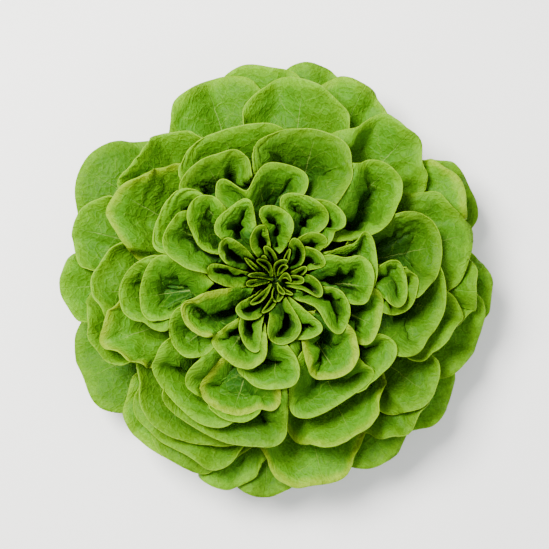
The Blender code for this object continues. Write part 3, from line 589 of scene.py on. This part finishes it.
def boat_grid(boat, foot, draw):
    """An inner leaf: a stalk, a keel, walls that open upwards and a wide lip out to the rim."""
    rows, columns = SMALL_GRID if boat.tip < SMALL_TIP else BOAT_GRID
    rise, b = np.meshgrid(
        1 - (1 - np.linspace(0, 1, rows)) ** BOAT_ROW_POWER, np.linspace(-1, 1, columns), indexing="ij")
    rim_u, rim_v, rim_z, out_u, out_v, lip, ripple = boat_rim(boat, b, draw)
    funnel = FUNNEL_DEPTH * lip
    edge_u, edge_v, edge_z = rim_u - out_u * lip, rim_v - out_v * lip, rim_z - funnel
    keel_u = foot.radius + (edge_u - foot.radius) * KEEL_SHARE
    keel_v = KEEL_WIDTH * edge_v
    keel_z = foot.height + (keel_u - foot.radius) * foot.climb - KEEL_DIP * np.exp(-keel_u / DIP_REACH)

    up = np.clip((rise - STALK_PART) / (1 - STALK_PART), 0, 1)
    wall = np.clip(up / WALL_PART, 0, 1)
    over_lip = np.clip((up - WALL_PART) / (1 - WALL_PART), 0, 1)
    fold = min(FOLD_SHARE * boat.half_width, MOST_FOLD) * ripple * np.sin(math.pi * wall)
    outwards = lip * over_lip + fold
    climb = FUNNEL_STRAIGHT * over_lip + (1 - FUNNEL_STRAIGHT) * (1 - (1 - over_lip) ** 2)
    u = keel_u + (edge_u - keel_u) * wall**WALL_SPREAD + out_u * outwards
    v = keel_v + (edge_v - keel_v) * wall**WALL_SPREAD + out_v * outwards
    z = keel_z + (edge_z - keel_z) * wall**WALL_RISE + funnel * climb

    stalk = np.clip(rise / STALK_PART, 0, 1)
    on_stalk = rise < STALK_PART
    foot_v, foot_z = FOOT_HALF_WIDTH * b, foot.height - FOOT_SINK
    u = np.where(on_stalk, foot.radius + (keel_u - foot.radius) * stalk, u)
    v = np.where(on_stalk, foot_v + (keel_v - foot_v) * stalk, v)
    z = np.where(on_stalk, foot_z + (keel_z - foot_z) * stalk, z)
    c, s = math.cos(math.radians(boat.azimuth)), math.sin(math.radians(boat.azimuth))
    return np.stack([u * c - v * s, u * s + v * c, z], -1)


def all_lowered(field, cells):
    """The smallest value within so many cells."""
    return -widened(-field, cells, False)


def plan_cells(grid):
    place = np.clip((grid[..., :2] + PLAN_REACH) / PLAN_STEP, 0, PLAN_CELLS - 2)
    return place[..., 0], place[..., 1]


def tucked(grid, cover, least):
    """The same blade, pressed down wherever it would come up through the leaves that lie over it."""
    soft = softened(all_lowered(cover, COVER_WIDE), COVER_SOFT, False)
    x, y = plan_cells(grid)
    i, j = x.astype(int), y.astype(int)
    u, v = x - i, y - j
    near = (1 - u) * soft[i, j] + u * soft[i + 1, j]
    far = (1 - u) * soft[i, j + 1] + u * soft[i + 1, j + 1]
    limit = (1 - v) * near + v * far - COVER_GAP
    grid = grid.copy()
    z = grid[..., 2]
    low = 0.5 * (z + limit - np.sqrt((z - limit) ** 2 + COVER_ROUND**2))
    grid[..., 2] = np.where(z > least, np.maximum(low, least), z)
    return grid


def cover_with(grid, cover):
    """Marks the plan cells that a blade lies over with its height."""
    rows, columns = np.linspace(0, 1, COVER_ROWS), np.linspace(0, 1, COVER_COLUMNS)
    fine = np.stack([resampled(grid[..., k], rows, columns) for k in range(3)], -1)
    fine = fine[rows > COVER_FROM]
    x, y = plan_cells(fine)
    np.minimum.at(cover, (np.round(x).astype(int), np.round(y).astype(int)), fine[..., 2])


def puckered(grid, size, draw):
    """The same blade with low, irregular blisters between its veins."""
    along, across = lengths(grid, 0), lengths(grid, 1)
    field = np.zeros(grid.shape[:2])
    for _ in range(BLISTER_WAVES):
        way = draw.uniform(0, math.pi)
        rate = 2 * math.pi / draw.uniform(*BLISTER_LENGTH)
        place = along * math.cos(way) + across * math.sin(way)
        field = field + np.sin(rate * place + draw.uniform(0, 2 * math.pi))
    inwards = np.minimum(1, BLISTER_START * row_shares(grid))
    return grid + normals(grid) * (size * field * inwards / math.sqrt(BLISTER_WAVES))[..., None]


def frilled(grid, draw):
    """The same blade with its margin ruffled upwards, clear of the leaves below."""
    across = lengths(grid, 1)[-1]
    rows = row_shares(grid)
    lift = np.zeros(grid.shape[:2])
    for height, longest, start in FRILLS:
        rate = 2 * math.pi / (longest * draw.uniform(*FRILL_VARY))
        lift = lift + height * (1 + np.sin(rate * across + draw.uniform(0, 2 * math.pi))) * rows**start
    return grid + normals(grid) * lift[..., None]


def based(s, theta, q):
    """A laid leaf in space, with its root at the stem and a broad base that clasps it."""
    s[0] = 0.0
    spine = theta[:, LEAF_COLUMNS // 2][:, None]
    theta = spine + (theta - spine) * (1 + BASE_SPREAD * (1 - LEAF_SHARES) ** 2)
    return in_space(s, theta, q)


def add_piece(name, points, faces, read, material, node):
    """A smooth mesh from points in metres, with the lengths that its material reads."""
    mesh = bpy.data.meshes.new(name)
    mesh.from_pydata(points.tolist(), [], faces)
    mesh.shade_smooth()
    mesh.materials.append(material)
    for label, values in read.items():
        kind, field = ("FLOAT_VECTOR", "vector") if values.ndim > 1 else ("FLOAT", "value")
        mesh.attributes.new(label, kind, "POINT").data.foreach_set(field, values.ravel().astype(np.float32))
    piece = bpy.data.objects.new(name, mesh)
    bpy.context.scene.collection.objects.link(piece)
    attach(piece, "root")
    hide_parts(node)


def leaf_piece(name, grid, thick, tone, material, node):
    """A thin closed blade round a grid of points in millimetres."""
    rows, columns = grid.shape[:2]
    half = np.broadcast_to(0.5 * thick * MM, (rows, columns))[..., None] * normals(grid)
    points = np.concatenate([(grid * MM + half).reshape(-1, 3), (grid * MM - half).reshape(-1, 3)])
    corner = np.arange(rows * columns).reshape(rows, columns)
    a, b = corner[:-1, :-1].ravel(), corner[:-1, 1:].ravel()
    c, d = corner[1:, 1:].ravel(), corner[1:, :-1].ravel()
    upper = np.stack([a, b, c, d], 1)
    lower = upper[:, ::-1] + rows * columns
    loop = np.concatenate([corner[0], corner[1:, -1], corner[-1, -2::-1], corner[-2:0:-1, 0]])
    following = np.roll(loop, -1)
    strip = np.stack([loop, loop + rows * columns, following + rows * columns, following], 1)
    faces = np.concatenate([upper, lower, strip]).tolist()

    run, aside = lengths(grid, 0), lengths(grid, 1)
    aside = aside - aside[:, columns // 2][:, None]
    to_side = np.minimum(aside[:, -1:] - aside, aside - aside[:, :1])
    # Distance from the margin, counted longer towards the root, where the material paints shade
    rim = np.minimum(run[-1] - run, SIDE_WEIGHT * to_side + ROOT_WEIGHT * (1 - row_shares(grid)))
    place = np.stack([aside, run, np.full_like(run, TONE_SHIFT * tone)], -1).reshape(-1, 3)
    read = {
        "rim": np.tile(rim.ravel(), 2),
        "leaf_place": np.tile(place, (2, 1)),
        "tone": np.full(len(points), tone)}
    add_piece(name, points, faces, read, material, node)


# Sockets of the mixer for colours
MIX_FIRST, MIX_SECOND, MIX_RESULT = 6, 7, 2


class Graph:
    """A material's nodes, made and joined in one line each."""

    def __init__(self, name):
        self.material = bpy.data.materials.new(name)
        self.material.use_nodes = True
        self.tree = self.material.node_tree
        self.shader = self.tree.nodes["Principled BSDF"]
        self.out = self.tree.nodes["Material Output"]

    def node(self, kind, inputs=(), **settings):
        made = self.tree.nodes.new(kind)
        for key, value in settings.items():
            setattr(made, key, value)
        for key, value in dict(inputs).items():
            self.join(value, made.inputs[key])
        return made

    def join(self, value, socket):
        if isinstance(value, bpy.types.NodeSocket):
            self.tree.links.new(value, socket)
        else:
            socket.default_value = value

    def math(self, operation, a, b=0.0):
        return self.node("ShaderNodeMath", {0: a, 1: b}, operation=operation).outputs[0]

    def times(self, a, b):
        return self.math("MULTIPLY", a, b)

    def plus(self, a, b):
        return self.math("ADD", a, b)

    def minus(self, a, b):
        return self.math("SUBTRACT", a, b)

    def between(self, value, low, high, start=0.0, end=1.0):
        """value taken smoothly from low..high to start..end."""
        inputs = {"Value": value, "From Min": low, "From Max": high, "To Min": start, "To Max": end}
        return self.node("ShaderNodeMapRange", inputs, interpolation_type="SMOOTHSTEP").outputs["Result"]

    def mix(self, share, first, second, blend="MIX"):
        inputs = {"Factor": share, MIX_FIRST: first, MIX_SECOND: second}
        return self.node("ShaderNodeMix", inputs, data_type="RGBA", blend_type=blend).outputs[MIX_RESULT]

    def grey(self, level):
        return self.node("ShaderNodeCombineXYZ", {"X": level, "Y": level, "Z": level}).outputs[0]

    def noise(self, place, scale, detail=2.0, roughness=0.5):
        inputs = {"Vector": place, "Scale": scale, "Detail": detail, "Roughness": roughness}
        return self.node("ShaderNodeTexNoise", inputs).outputs["Fac"]

    def read(self, label, output="Fac"):
        return self.node("ShaderNodeAttribute", attribute_name=label).outputs[output]

    def bump(self, height, strength, distance):
        inputs = {"Height": height, "Strength": strength, "Distance": distance}
        return self.node("ShaderNodeBump", inputs).outputs["Normal"]


def colour(red, green, blue):
    return (red, green, blue, 1.0)


class Tissue(NamedTuple):
    """Colours of a leaf with the millimetres from its margin that they lie at: its own mid green, and a
    darker green painted as the shade far down in its cup.
    """

    mid: tuple
    painted_shade: tuple
    painted_shade_at: float
    margin_width: float
    blue_share: float


# Leaf colours. The pale edge is a painted highlight, the margin colour is painted light, and the darker
# second green of each tissue is painted shade far down in the cup
PAINTED_EDGE_HIGHLIGHT = colour(0.21, 0.38, 0.006)
PAINTED_LIGHT_MARGIN = colour(0.140, 0.325, 0.0006)
BLUE_GREEN = colour(0.044, 0.178, 0.0035)
GOLD = colour(0.27, 0.31, 0.004)
VEIN = colour(0.17, 0.34, 0.018)
RIB = colour(0.27, 0.42, 0.07)
OUTER_TISSUE = Tissue(colour(0.070, 0.215, 0.0015), colour(0.025, 0.112, 0.0024), 58.0, 10.0, 0.5)
MIDDLE_TISSUE = Tissue(colour(0.056, 0.190, 0.0008), colour(0.017, 0.086, 0.0016), 32.0, 8.0, 0.15)
HEART_TISSUE = Tissue(colour(0.046, 0.172, 0.0006), colour(0.013, 0.074, 0.0012), 24.0, 6.0, 0.05)

# Leaf patterns. A noise is its scale for each millimetre, its detail and its roughness
PATCHES, BLOTCHES = (0.045, 3.0, 0.55), (0.16, 3.0, 0.6)
BLISTERS, GRAIN = (0.42, 3.0, 0.6), (1.9, 3.0, 0.65)
MIDDLE_LEVEL = 0.5
WOBBLE = 0.9
NET_SCALE = 0.22
VEIN_SPACING, VEIN_SLANT, VEIN_SWAY, RIB_SWAY = 12.0, 0.75, 11.0, 1.6

# Leaf steps: from and to in the pattern or in millimetres, then the values at both ends
BLUE_STEP = (0.46, 0.62)
# Painted light on the margin: full out to this many millimetres from the edge, fading over the margin width,
# at this largest share
PAINTED_LIGHT_FROM, PAINTED_LIGHT_SHARE = 0.3, 0.85
GOLD_LEAVES, GOLD_MARGIN = (0.86, 0.98), (0.0, 7.0, 0.55, 0.0)
RIB_WIDTH, RIB_EDGE = (0.0, 70.0, 1.9, 0.35), (0.5, 1.4, 1.0, 0.0)
RIB_ALONG, RIB_FADE = (10.0, 120.0, 0.75, 0.3), (3.0, 22.0, 0.0, 1.0)
VEIN_EDGE, VEIN_FADE, VEIN_SHARE = (0.15, 0.75, 1.0, 0.0), (3.0, 14.0, 0.15, 0.75), 0.38
CELL_DOME, NET_LINE, NET_SHARE = (0.0, 0.22), (0.0, 0.07, 1.0, 0.0), 0.12
# The third range turns each leaf's value into brightness: random, and painted shade on the short heart
# leaves and the core
SPECKLE, MOTTLE, TONE_AND_SHADE_LEVEL = (0.3, 0.7, 0.80, 1.18), (0.3, 0.7, 0.86, 1.12), (0.0, 1.0, 0.30, 1.12)
# Painted highlight: a thin pale line along the edge, by millimetres from it, and its share
HIGHLIGHT_LINE, HIGHLIGHT_SHARE = (0.15, 0.7, 1.0, 0.0), 0.75

# Leaf surface
BLISTER_RISE, CELL_RISE, GRAIN_RISE, VEIN_SINK, RIB_RISE = 0.9, 0.45, 0.22, 0.35, 0.5
LEAF_BUMP = (0.55, 0.0009)
LEAF_ROUGHNESS = (0.3, 0.7, 0.46, 0.60)
THROUGH_TINT, THROUGH_SHARE = colour(1.6, 1.7, 0.3), 0.30
LEAF_SURFACE = {
    "Specular IOR Level": 0.12,
    "Sheen Weight": 0.01,
    "Sheen Roughness": 0.5,
    "Sheen Tint": colour(0.85, 0.95, 0.75)}


def leaf_material(name, tissue):
    """Leaf tissue that runs from a thin pale edge, a painted highlight, through a margin painted lighter as
    if light fell on it, to a darker green painted as the shade far down in the cup.
    """
    g = Graph(name)
    rim, tone, place = g.read("rim"), g.read("tone"), g.read("leaf_place", "Vector")
    parts = g.node("ShaderNodeSeparateXYZ", {"Vector": place}).outputs
    across, along = parts["X"], parts["Y"]
    patches, blotches = g.noise(place, *PATCHES), g.noise(place, *BLOTCHES)
    blisters, grain = g.noise(place, *BLISTERS), g.noise(place, *GRAIN)
    uneven = g.minus(blotches, MIDDLE_LEVEL)

    far = g.plus(rim, g.times(uneven, WOBBLE * tissue.margin_width))
    # The green darkens with distance from the margin: painted shade far down in the cup and towards the root
    body = g.mix(g.between(far, tissue.margin_width, tissue.painted_shade_at), tissue.mid, tissue.painted_shade)
    body = g.mix(g.times(g.between(patches, *BLUE_STEP), tissue.blue_share), body, BLUE_GREEN)
    # Painted light: the margin is painted lighter as if light fell on it
    painted_light = g.between(far, PAINTED_LIGHT_FROM, tissue.margin_width, 1.0, 0.0)
    body = g.mix(g.times(painted_light, PAINTED_LIGHT_SHARE), body, PAINTED_LIGHT_MARGIN)
    body = g.mix(g.times(g.between(tone, *GOLD_LEAVES), g.between(far, *GOLD_MARGIN)), body, GOLD)

    spine = g.math("ABSOLUTE", g.plus(across, g.times(uneven, RIB_SWAY)))
    rib = g.between(g.math("DIVIDE", spine, g.between(along, *RIB_WIDTH)), *RIB_EDGE)
    slant = g.minus(along, g.times(g.math("ABSOLUTE", across), VEIN_SLANT))
    slant = g.plus(slant, g.times(blotches, VEIN_SWAY))
    side = g.math("PINGPONG", g.math("DIVIDE", slant, VEIN_SPACING), MIDDLE_LEVEL)
    side = g.between(g.times(side, VEIN_SPACING), *VEIN_EDGE)
    side = g.times(side, g.between(rim, *VEIN_FADE))
    net = g.node(
        "ShaderNodeTexVoronoi", {"Vector": place, "Scale": NET_SCALE, "Randomness": 1.0},
        feature="DISTANCE_TO_EDGE").outputs["Distance"]
    body = g.mix(g.times(g.between(net, *NET_LINE), NET_SHARE), body, VEIN)
    body = g.mix(g.times(side, VEIN_SHARE), body, VEIN)
    shown = g.times(g.between(along, *RIB_ALONG), g.between(rim, *RIB_FADE))
    body = g.mix(g.times(rib, shown), body, RIB)

    level = g.times(g.between(grain, *SPECKLE), g.between(blisters, *MOTTLE))
    # Brightness by leaf: random, and lowered as painted shade on the short heart leaves and the core
    level = g.times(level, g.between(tone, *TONE_AND_SHADE_LEVEL))
    body = g.mix(1.0, body, g.grey(level), "MULTIPLY")
    # Painted highlight along the edge
    body = g.mix(g.times(g.between(rim, *HIGHLIGHT_LINE), HIGHLIGHT_SHARE), body, PAINTED_EDGE_HIGHLIGHT)

    raised = g.plus(g.times(blisters, BLISTER_RISE), g.times(g.between(net, *CELL_DOME), CELL_RISE))
    raised = g.plus(raised, g.times(grain, GRAIN_RISE))
    raised = g.minus(raised, g.times(side, VEIN_SINK))
    raised = g.plus(raised, g.times(rib, RIB_RISE))
    bump = g.bump(raised, *LEAF_BUMP)

    g.join(body, g.shader.inputs["Base Color"])
    g.join(bump, g.shader.inputs["Normal"])
    g.join(g.between(blisters, *LEAF_ROUGHNESS), g.shader.inputs["Roughness"])
    for socket, value in LEAF_SURFACE.items():
        g.shader.inputs[socket].default_value = value
    through = g.mix(1.0, body, THROUGH_TINT, "MULTIPLY")
    glow = g.node("ShaderNodeBsdfTranslucent", {"Color": through, "Normal": bump}).outputs[0]
    shared = g.node("ShaderNodeMixShader", {0: THROUGH_SHARE, 1: g.shader.outputs[0], 2: glow}).outputs[0]
    g.join(shared, g.out.inputs["Surface"])
    return g.material


# Cut face of the stem from its pith outwards, with each ring in metres from the axis
PITH = colour(0.74, 0.76, 0.50)
FLESH, FLESH_RING = colour(0.52, 0.60, 0.30), (0.006, 0.0095)
STRANDS, STRAND_RING = colour(0.80, 0.82, 0.62), (0.0098, 0.0125)
BROWNED, BROWNED_RING, BROWNED_SHARE = colour(0.46, 0.28, 0.11), (0.0125, 0.0148), 0.6
CLOUD, FINE, RING_SWAY = (180.0, 4.0, 0.6), (1400.0, 3.0, 0.6), 0.004

# Skin of the stem, by height in metres, and its surface
SKIN_FOOT, SKIN_TOP, SKIN_HEIGHTS = colour(0.62, 0.68, 0.36), colour(0.060, 0.190, 0.006), (0.003, 0.018)
FACE_HEIGHTS = (0.0006, 0.0022)
STEM_SPECKLE, STEM_ROUGHNESS = (0.3, 0.7, 0.86, 1.08), (0.3, 0.7, 0.35, 0.55)
FINE_RISE, STEM_BUMP = 0.4, (0.5, 0.0006)

# Floor
FLOOR_NOISE, FLOOR_LEVEL, FLOOR_ROUGHNESS, FLOOR_HALF_SIDE = 6.0, (0.2, 0.8, 0.86, 0.9), 0.9, 4.0


def stem_material():
    """Pale stem skin, and a moist cut face with a pith, a ring of strands and a browned edge."""
    g = Graph("stem_cut")
    place = g.node("ShaderNodeTexCoord").outputs["Object"]
    parts = g.node("ShaderNodeSeparateXYZ", {"Vector": place}).outputs
    flat = g.node("ShaderNodeCombineXYZ", {"X": parts["X"], "Y": parts["Y"]}).outputs[0]
    radius = g.node("ShaderNodeVectorMath", {0: flat}, operation="LENGTH").outputs["Value"]
    cloud, fine = g.noise(place, *CLOUD), g.noise(place, *FINE)
    away = g.plus(radius, g.times(g.minus(cloud, MIDDLE_LEVEL), RING_SWAY))
    flesh = g.mix(g.between(away, *FLESH_RING), PITH, FLESH)
    flesh = g.mix(g.between(away, *STRAND_RING), flesh, STRANDS)
    flesh = g.mix(g.times(g.between(away, *BROWNED_RING), BROWNED_SHARE), flesh, BROWNED)
    skin = g.mix(g.between(parts["Z"], *SKIN_HEIGHTS), SKIN_FOOT, SKIN_TOP)
    body = g.mix(g.between(parts["Z"], *FACE_HEIGHTS), flesh, skin)
    body = g.mix(1.0, body, g.grey(g.between(fine, *STEM_SPECKLE)), "MULTIPLY")
    bump = g.bump(g.plus(cloud, g.times(fine, FINE_RISE)), *STEM_BUMP)
    g.join(body, g.shader.inputs["Base Color"])
    g.join(bump, g.shader.inputs["Normal"])
    g.join(g.between(cloud, *STEM_ROUGHNESS), g.shader.inputs["Roughness"])
    return g.material


def floor_material():
    g = Graph("pale_floor")
    place = g.node("ShaderNodeTexCoord").outputs["Object"]
    level = g.between(g.noise(place, FLOOR_NOISE), *FLOOR_LEVEL)
    g.join(g.grey(level), g.shader.inputs["Base Color"])
    g.shader.inputs["Roughness"].default_value = FLOOR_ROUGHNESS
    return g.material


# Stem, and the core of the heart by radius and height. A wave is its size, its count and its start
ROOT_GAP = 0.7
STEM_TOP, STEM_RINGS, STEM_SIDES, STEM_SAMPLES = 47.0, 24, 96, 200
BUTT_ROUND, BUTT_HEIGHT, BUTT_SHARE = 1.5, 0.4, 0.4
CORE = np.array([[12.0, 44.0], [12.0, 48.0], [9.5, 53.0], [6.5, 57.0], [3.5, 60.0], [1.5, 61.5]])
CORE_SIDES = 48
CORE_UNEVEN, STEM_UNEVEN = 0.05, 0.006
UNEVEN_WAVES = ((1.0, 3, 0.6), (0.6, 5, 2.0), (0.4, 11, 0.0))


def turned_piece(name, profile, sides, uneven, material, node):
    """A body turned round the axis, a little uneven, with both ends closed."""
    angle = np.linspace(0, 2 * math.pi, sides, endpoint=False)
    radius, height = profile[:, 0], profile[:, 1]
    ripple = 1 + uneven * sum(size * np.sin(count * angle + start) for size, count, start in UNEVEN_WAVES)
    ring = np.stack([
        radius[:, None] * ripple * np.cos(angle), radius[:, None] * ripple * np.sin(angle),
        np.broadcast_to(height[:, None], (len(radius), sides))], -1)
    points = np.concatenate([ring.reshape(-1, 3), [[0, 0, height[0]], [0, 0, height[-1]]]]) * MM
    foot, top = len(radius) * sides, len(radius) * sides + 1
    faces = []
    for k in range(sides):
        n = (k + 1) % sides
        for i in range(len(radius) - 1):
            faces.append((i * sides + k, i * sides + n, (i + 1) * sides + n, (i + 1) * sides + k))
        faces.append((foot, n, k))
        faces.append((top, foot - sides + k, foot - sides + n))
    # A core of leaf tissue reads these as far from any margin and dark: painted shade
    read = {
        "rim": np.full(len(points), CORE_SHADE_RIM),
        "leaf_place": points / MM + CORE_SHIFT,
        "tone": np.full(len(points), CORE_SHADE_TONE)}
    add_piece(name, points, faces, read, material, node)


def stem_radius(height):
    q = np.linspace(0.0, HIGHEST_BOWL, STEM_SAMPLES)
    return np.interp(height, between_bowls(ROOT_HEIGHT, q), between_bowls(ROOT_RADIUS, q)) - ROOT_GAP


def make_heart(cover):
    tissue = leaf_material("heart_leaf", HEART_TISSUE)
    boats = sorted(enumerate(HEART_BOATS + crumpled_centre()), key=lambda row: row[1].tip)
    for k, boat in boats:
        draw = np.random.default_rng(BOAT_SEED + k)
        boat = boat._replace(half_width=WIDER_HEART * boat.half_width)
        grid = tucked(boat_grid(boat, HEART_FOOT, draw), cover, LEAST_TUCK["heart"])
        cover_with(grid, cover)
        grid = puckered(grid, HEART_BLISTERS, draw)
        # A random brightness, lowered on the short leaves of the centre as painted shade
        tone = draw.uniform(*HEART_TONES) * min(1.0, boat.tip / SHADE_FREE_TIP)
        leaf_piece(f"heart_leaf_{k + 1:02d}", grid, HEART_THICK, tone, tissue, "heart")
    turned_piece("heart_core", CORE, CORE_SIDES, CORE_UNEVEN, tissue, "heart")


def make_leaves(cover):
    """The leaves of the loose rings, from the innermost out, so that each goes below those already made."""
    outer = leaf_material("outer_leaf", OUTER_TISSUE)
    middle = leaf_material("middle_leaf", MIDDLE_TISSUE)
    for k, (leaf, s, theta, q) in reversed(list(enumerate(laid_leaves()))):
        ring = leaf.name.split("_")[0]
        if ring not in LOOSE_RINGS:
            continue
        draw = np.random.default_rng(LEAF_SEED + k)
        if ring == "middle":
            grid = boat_grid(middle_boat(leaf, draw), MIDDLE_FOOT, draw)
            thick, material = MIDDLE_THICK, middle
        else:
            grid = frilled(based(s, theta, q), draw)
            thick, material = MARGIN_THICK + BASE_THICK * (1 - LEAF_SHARES) ** 2, outer
        grid = tucked(grid, cover, LEAST_TUCK[ring])
        cover_with(grid, cover)
        grid = puckered(grid, LEAF_BLISTERS, draw)
        tone = draw.uniform(*LEAF_TONES)
        leaf_piece(f"{leaf.name}_blade", grid, thick, tone, material, leaf.name)


def make_stem():
    heights = np.concatenate([[0.0, BUTT_HEIGHT], np.linspace(BUTT_ROUND, STEM_TOP, STEM_RINGS)])
    radii = stem_radius(np.maximum(heights, between_bowls(ROOT_HEIGHT, 0.0)))
    radii[0] -= BUTT_ROUND
    radii[1] -= BUTT_SHARE * BUTT_ROUND
    profile = np.stack([radii, heights], 1)
    turned_piece("cut_stem", profile, STEM_SIDES, STEM_UNEVEN, stem_material(), "stem")


class Lamp(NamedTuple):
    """A square soft light: its place and side in metres, its power in watts and its tint."""

    name: str
    place: tuple
    power: float
    side: float
    tint: tuple


# Studio
PIXEL = 0.62
CENTRE_PIXEL = (276.0, 280.0)
PHOTO_SIDE = 549
LENS, SENSOR, NEAREST = 85.0, 36.0, 0.01
AIM_HEIGHT = 50.0
LAMPS = (
    Lamp("key", (-0.42, 0.38, 1.05), 48.0, 0.45, (1.0, 0.985, 0.93)),
    Lamp("fill", (0.8, -0.5, 0.8), 5.0, 0.8, (0.95, 0.98, 1.0)))
LIT_POINT = (0.0, 0.0, 0.05)
SKY, SKY_STRENGTH = colour(1.0, 1.0, 1.0), 0.9


def make_camera():
    """A camera straight above the part, far enough to see the photograph's frame."""
    camera = bpy.data.cameras.new("camera")
    camera.lens, camera.sensor_width = LENS, SENSOR
    camera.clip_start = NEAREST
    seat = bpy.data.objects.new("camera", camera)
    distance = 0.5 * PHOTO_SIDE * PIXEL * LENS / (0.5 * SENSOR)
    middle = PHOTO_SIDE / 2
    seat.location = (
        (middle - CENTRE_PIXEL[0]) * PIXEL * MM,
        (CENTRE_PIXEL[1] - middle) * PIXEL * MM,
        (distance + AIM_HEIGHT) * MM)
    bpy.context.scene.collection.objects.link(seat)
    bpy.context.scene.camera = seat


def make_studio():
    make_camera()
    for lamp in LAMPS:
        light = bpy.data.lights.new(lamp.name, "AREA")
        light.energy, light.size, light.color = lamp.power, lamp.side, lamp.tint
        holder = bpy.data.objects.new(lamp.name, light)
        holder.location = lamp.place
        aim = np.array(LIT_POINT) - np.array(lamp.place)
        pitch = math.acos(-aim[2] / np.linalg.norm(aim))
        holder.rotation_euler = (pitch, 0.0, math.atan2(-aim[0], aim[1]))
        bpy.context.scene.collection.objects.link(holder)
    world = bpy.data.worlds.new("world")
    bpy.context.scene.world = world
    world.use_nodes = True
    world.node_tree.nodes["Background"].inputs["Color"].default_value = SKY
    world.node_tree.nodes["Background"].inputs["Strength"].default_value = SKY_STRENGTH
    mesh = bpy.data.meshes.new("floor")
    side = FLOOR_HALF_SIDE
    corners = [(-side, -side, 0), (side, -side, 0), (side, side, 0), (-side, side, 0)]
    mesh.from_pydata(corners, [], [(0, 1, 2, 3)])
    mesh.materials.append(floor_material())
    floor = bpy.data.objects.new("floor", mesh)
    bpy.context.scene.collection.objects.link(floor)


cover = np.full((PLAN_CELLS, PLAN_CELLS), NOTHING_OVER)
make_heart(cover)
make_leaves(cover)
make_stem()
make_studio()
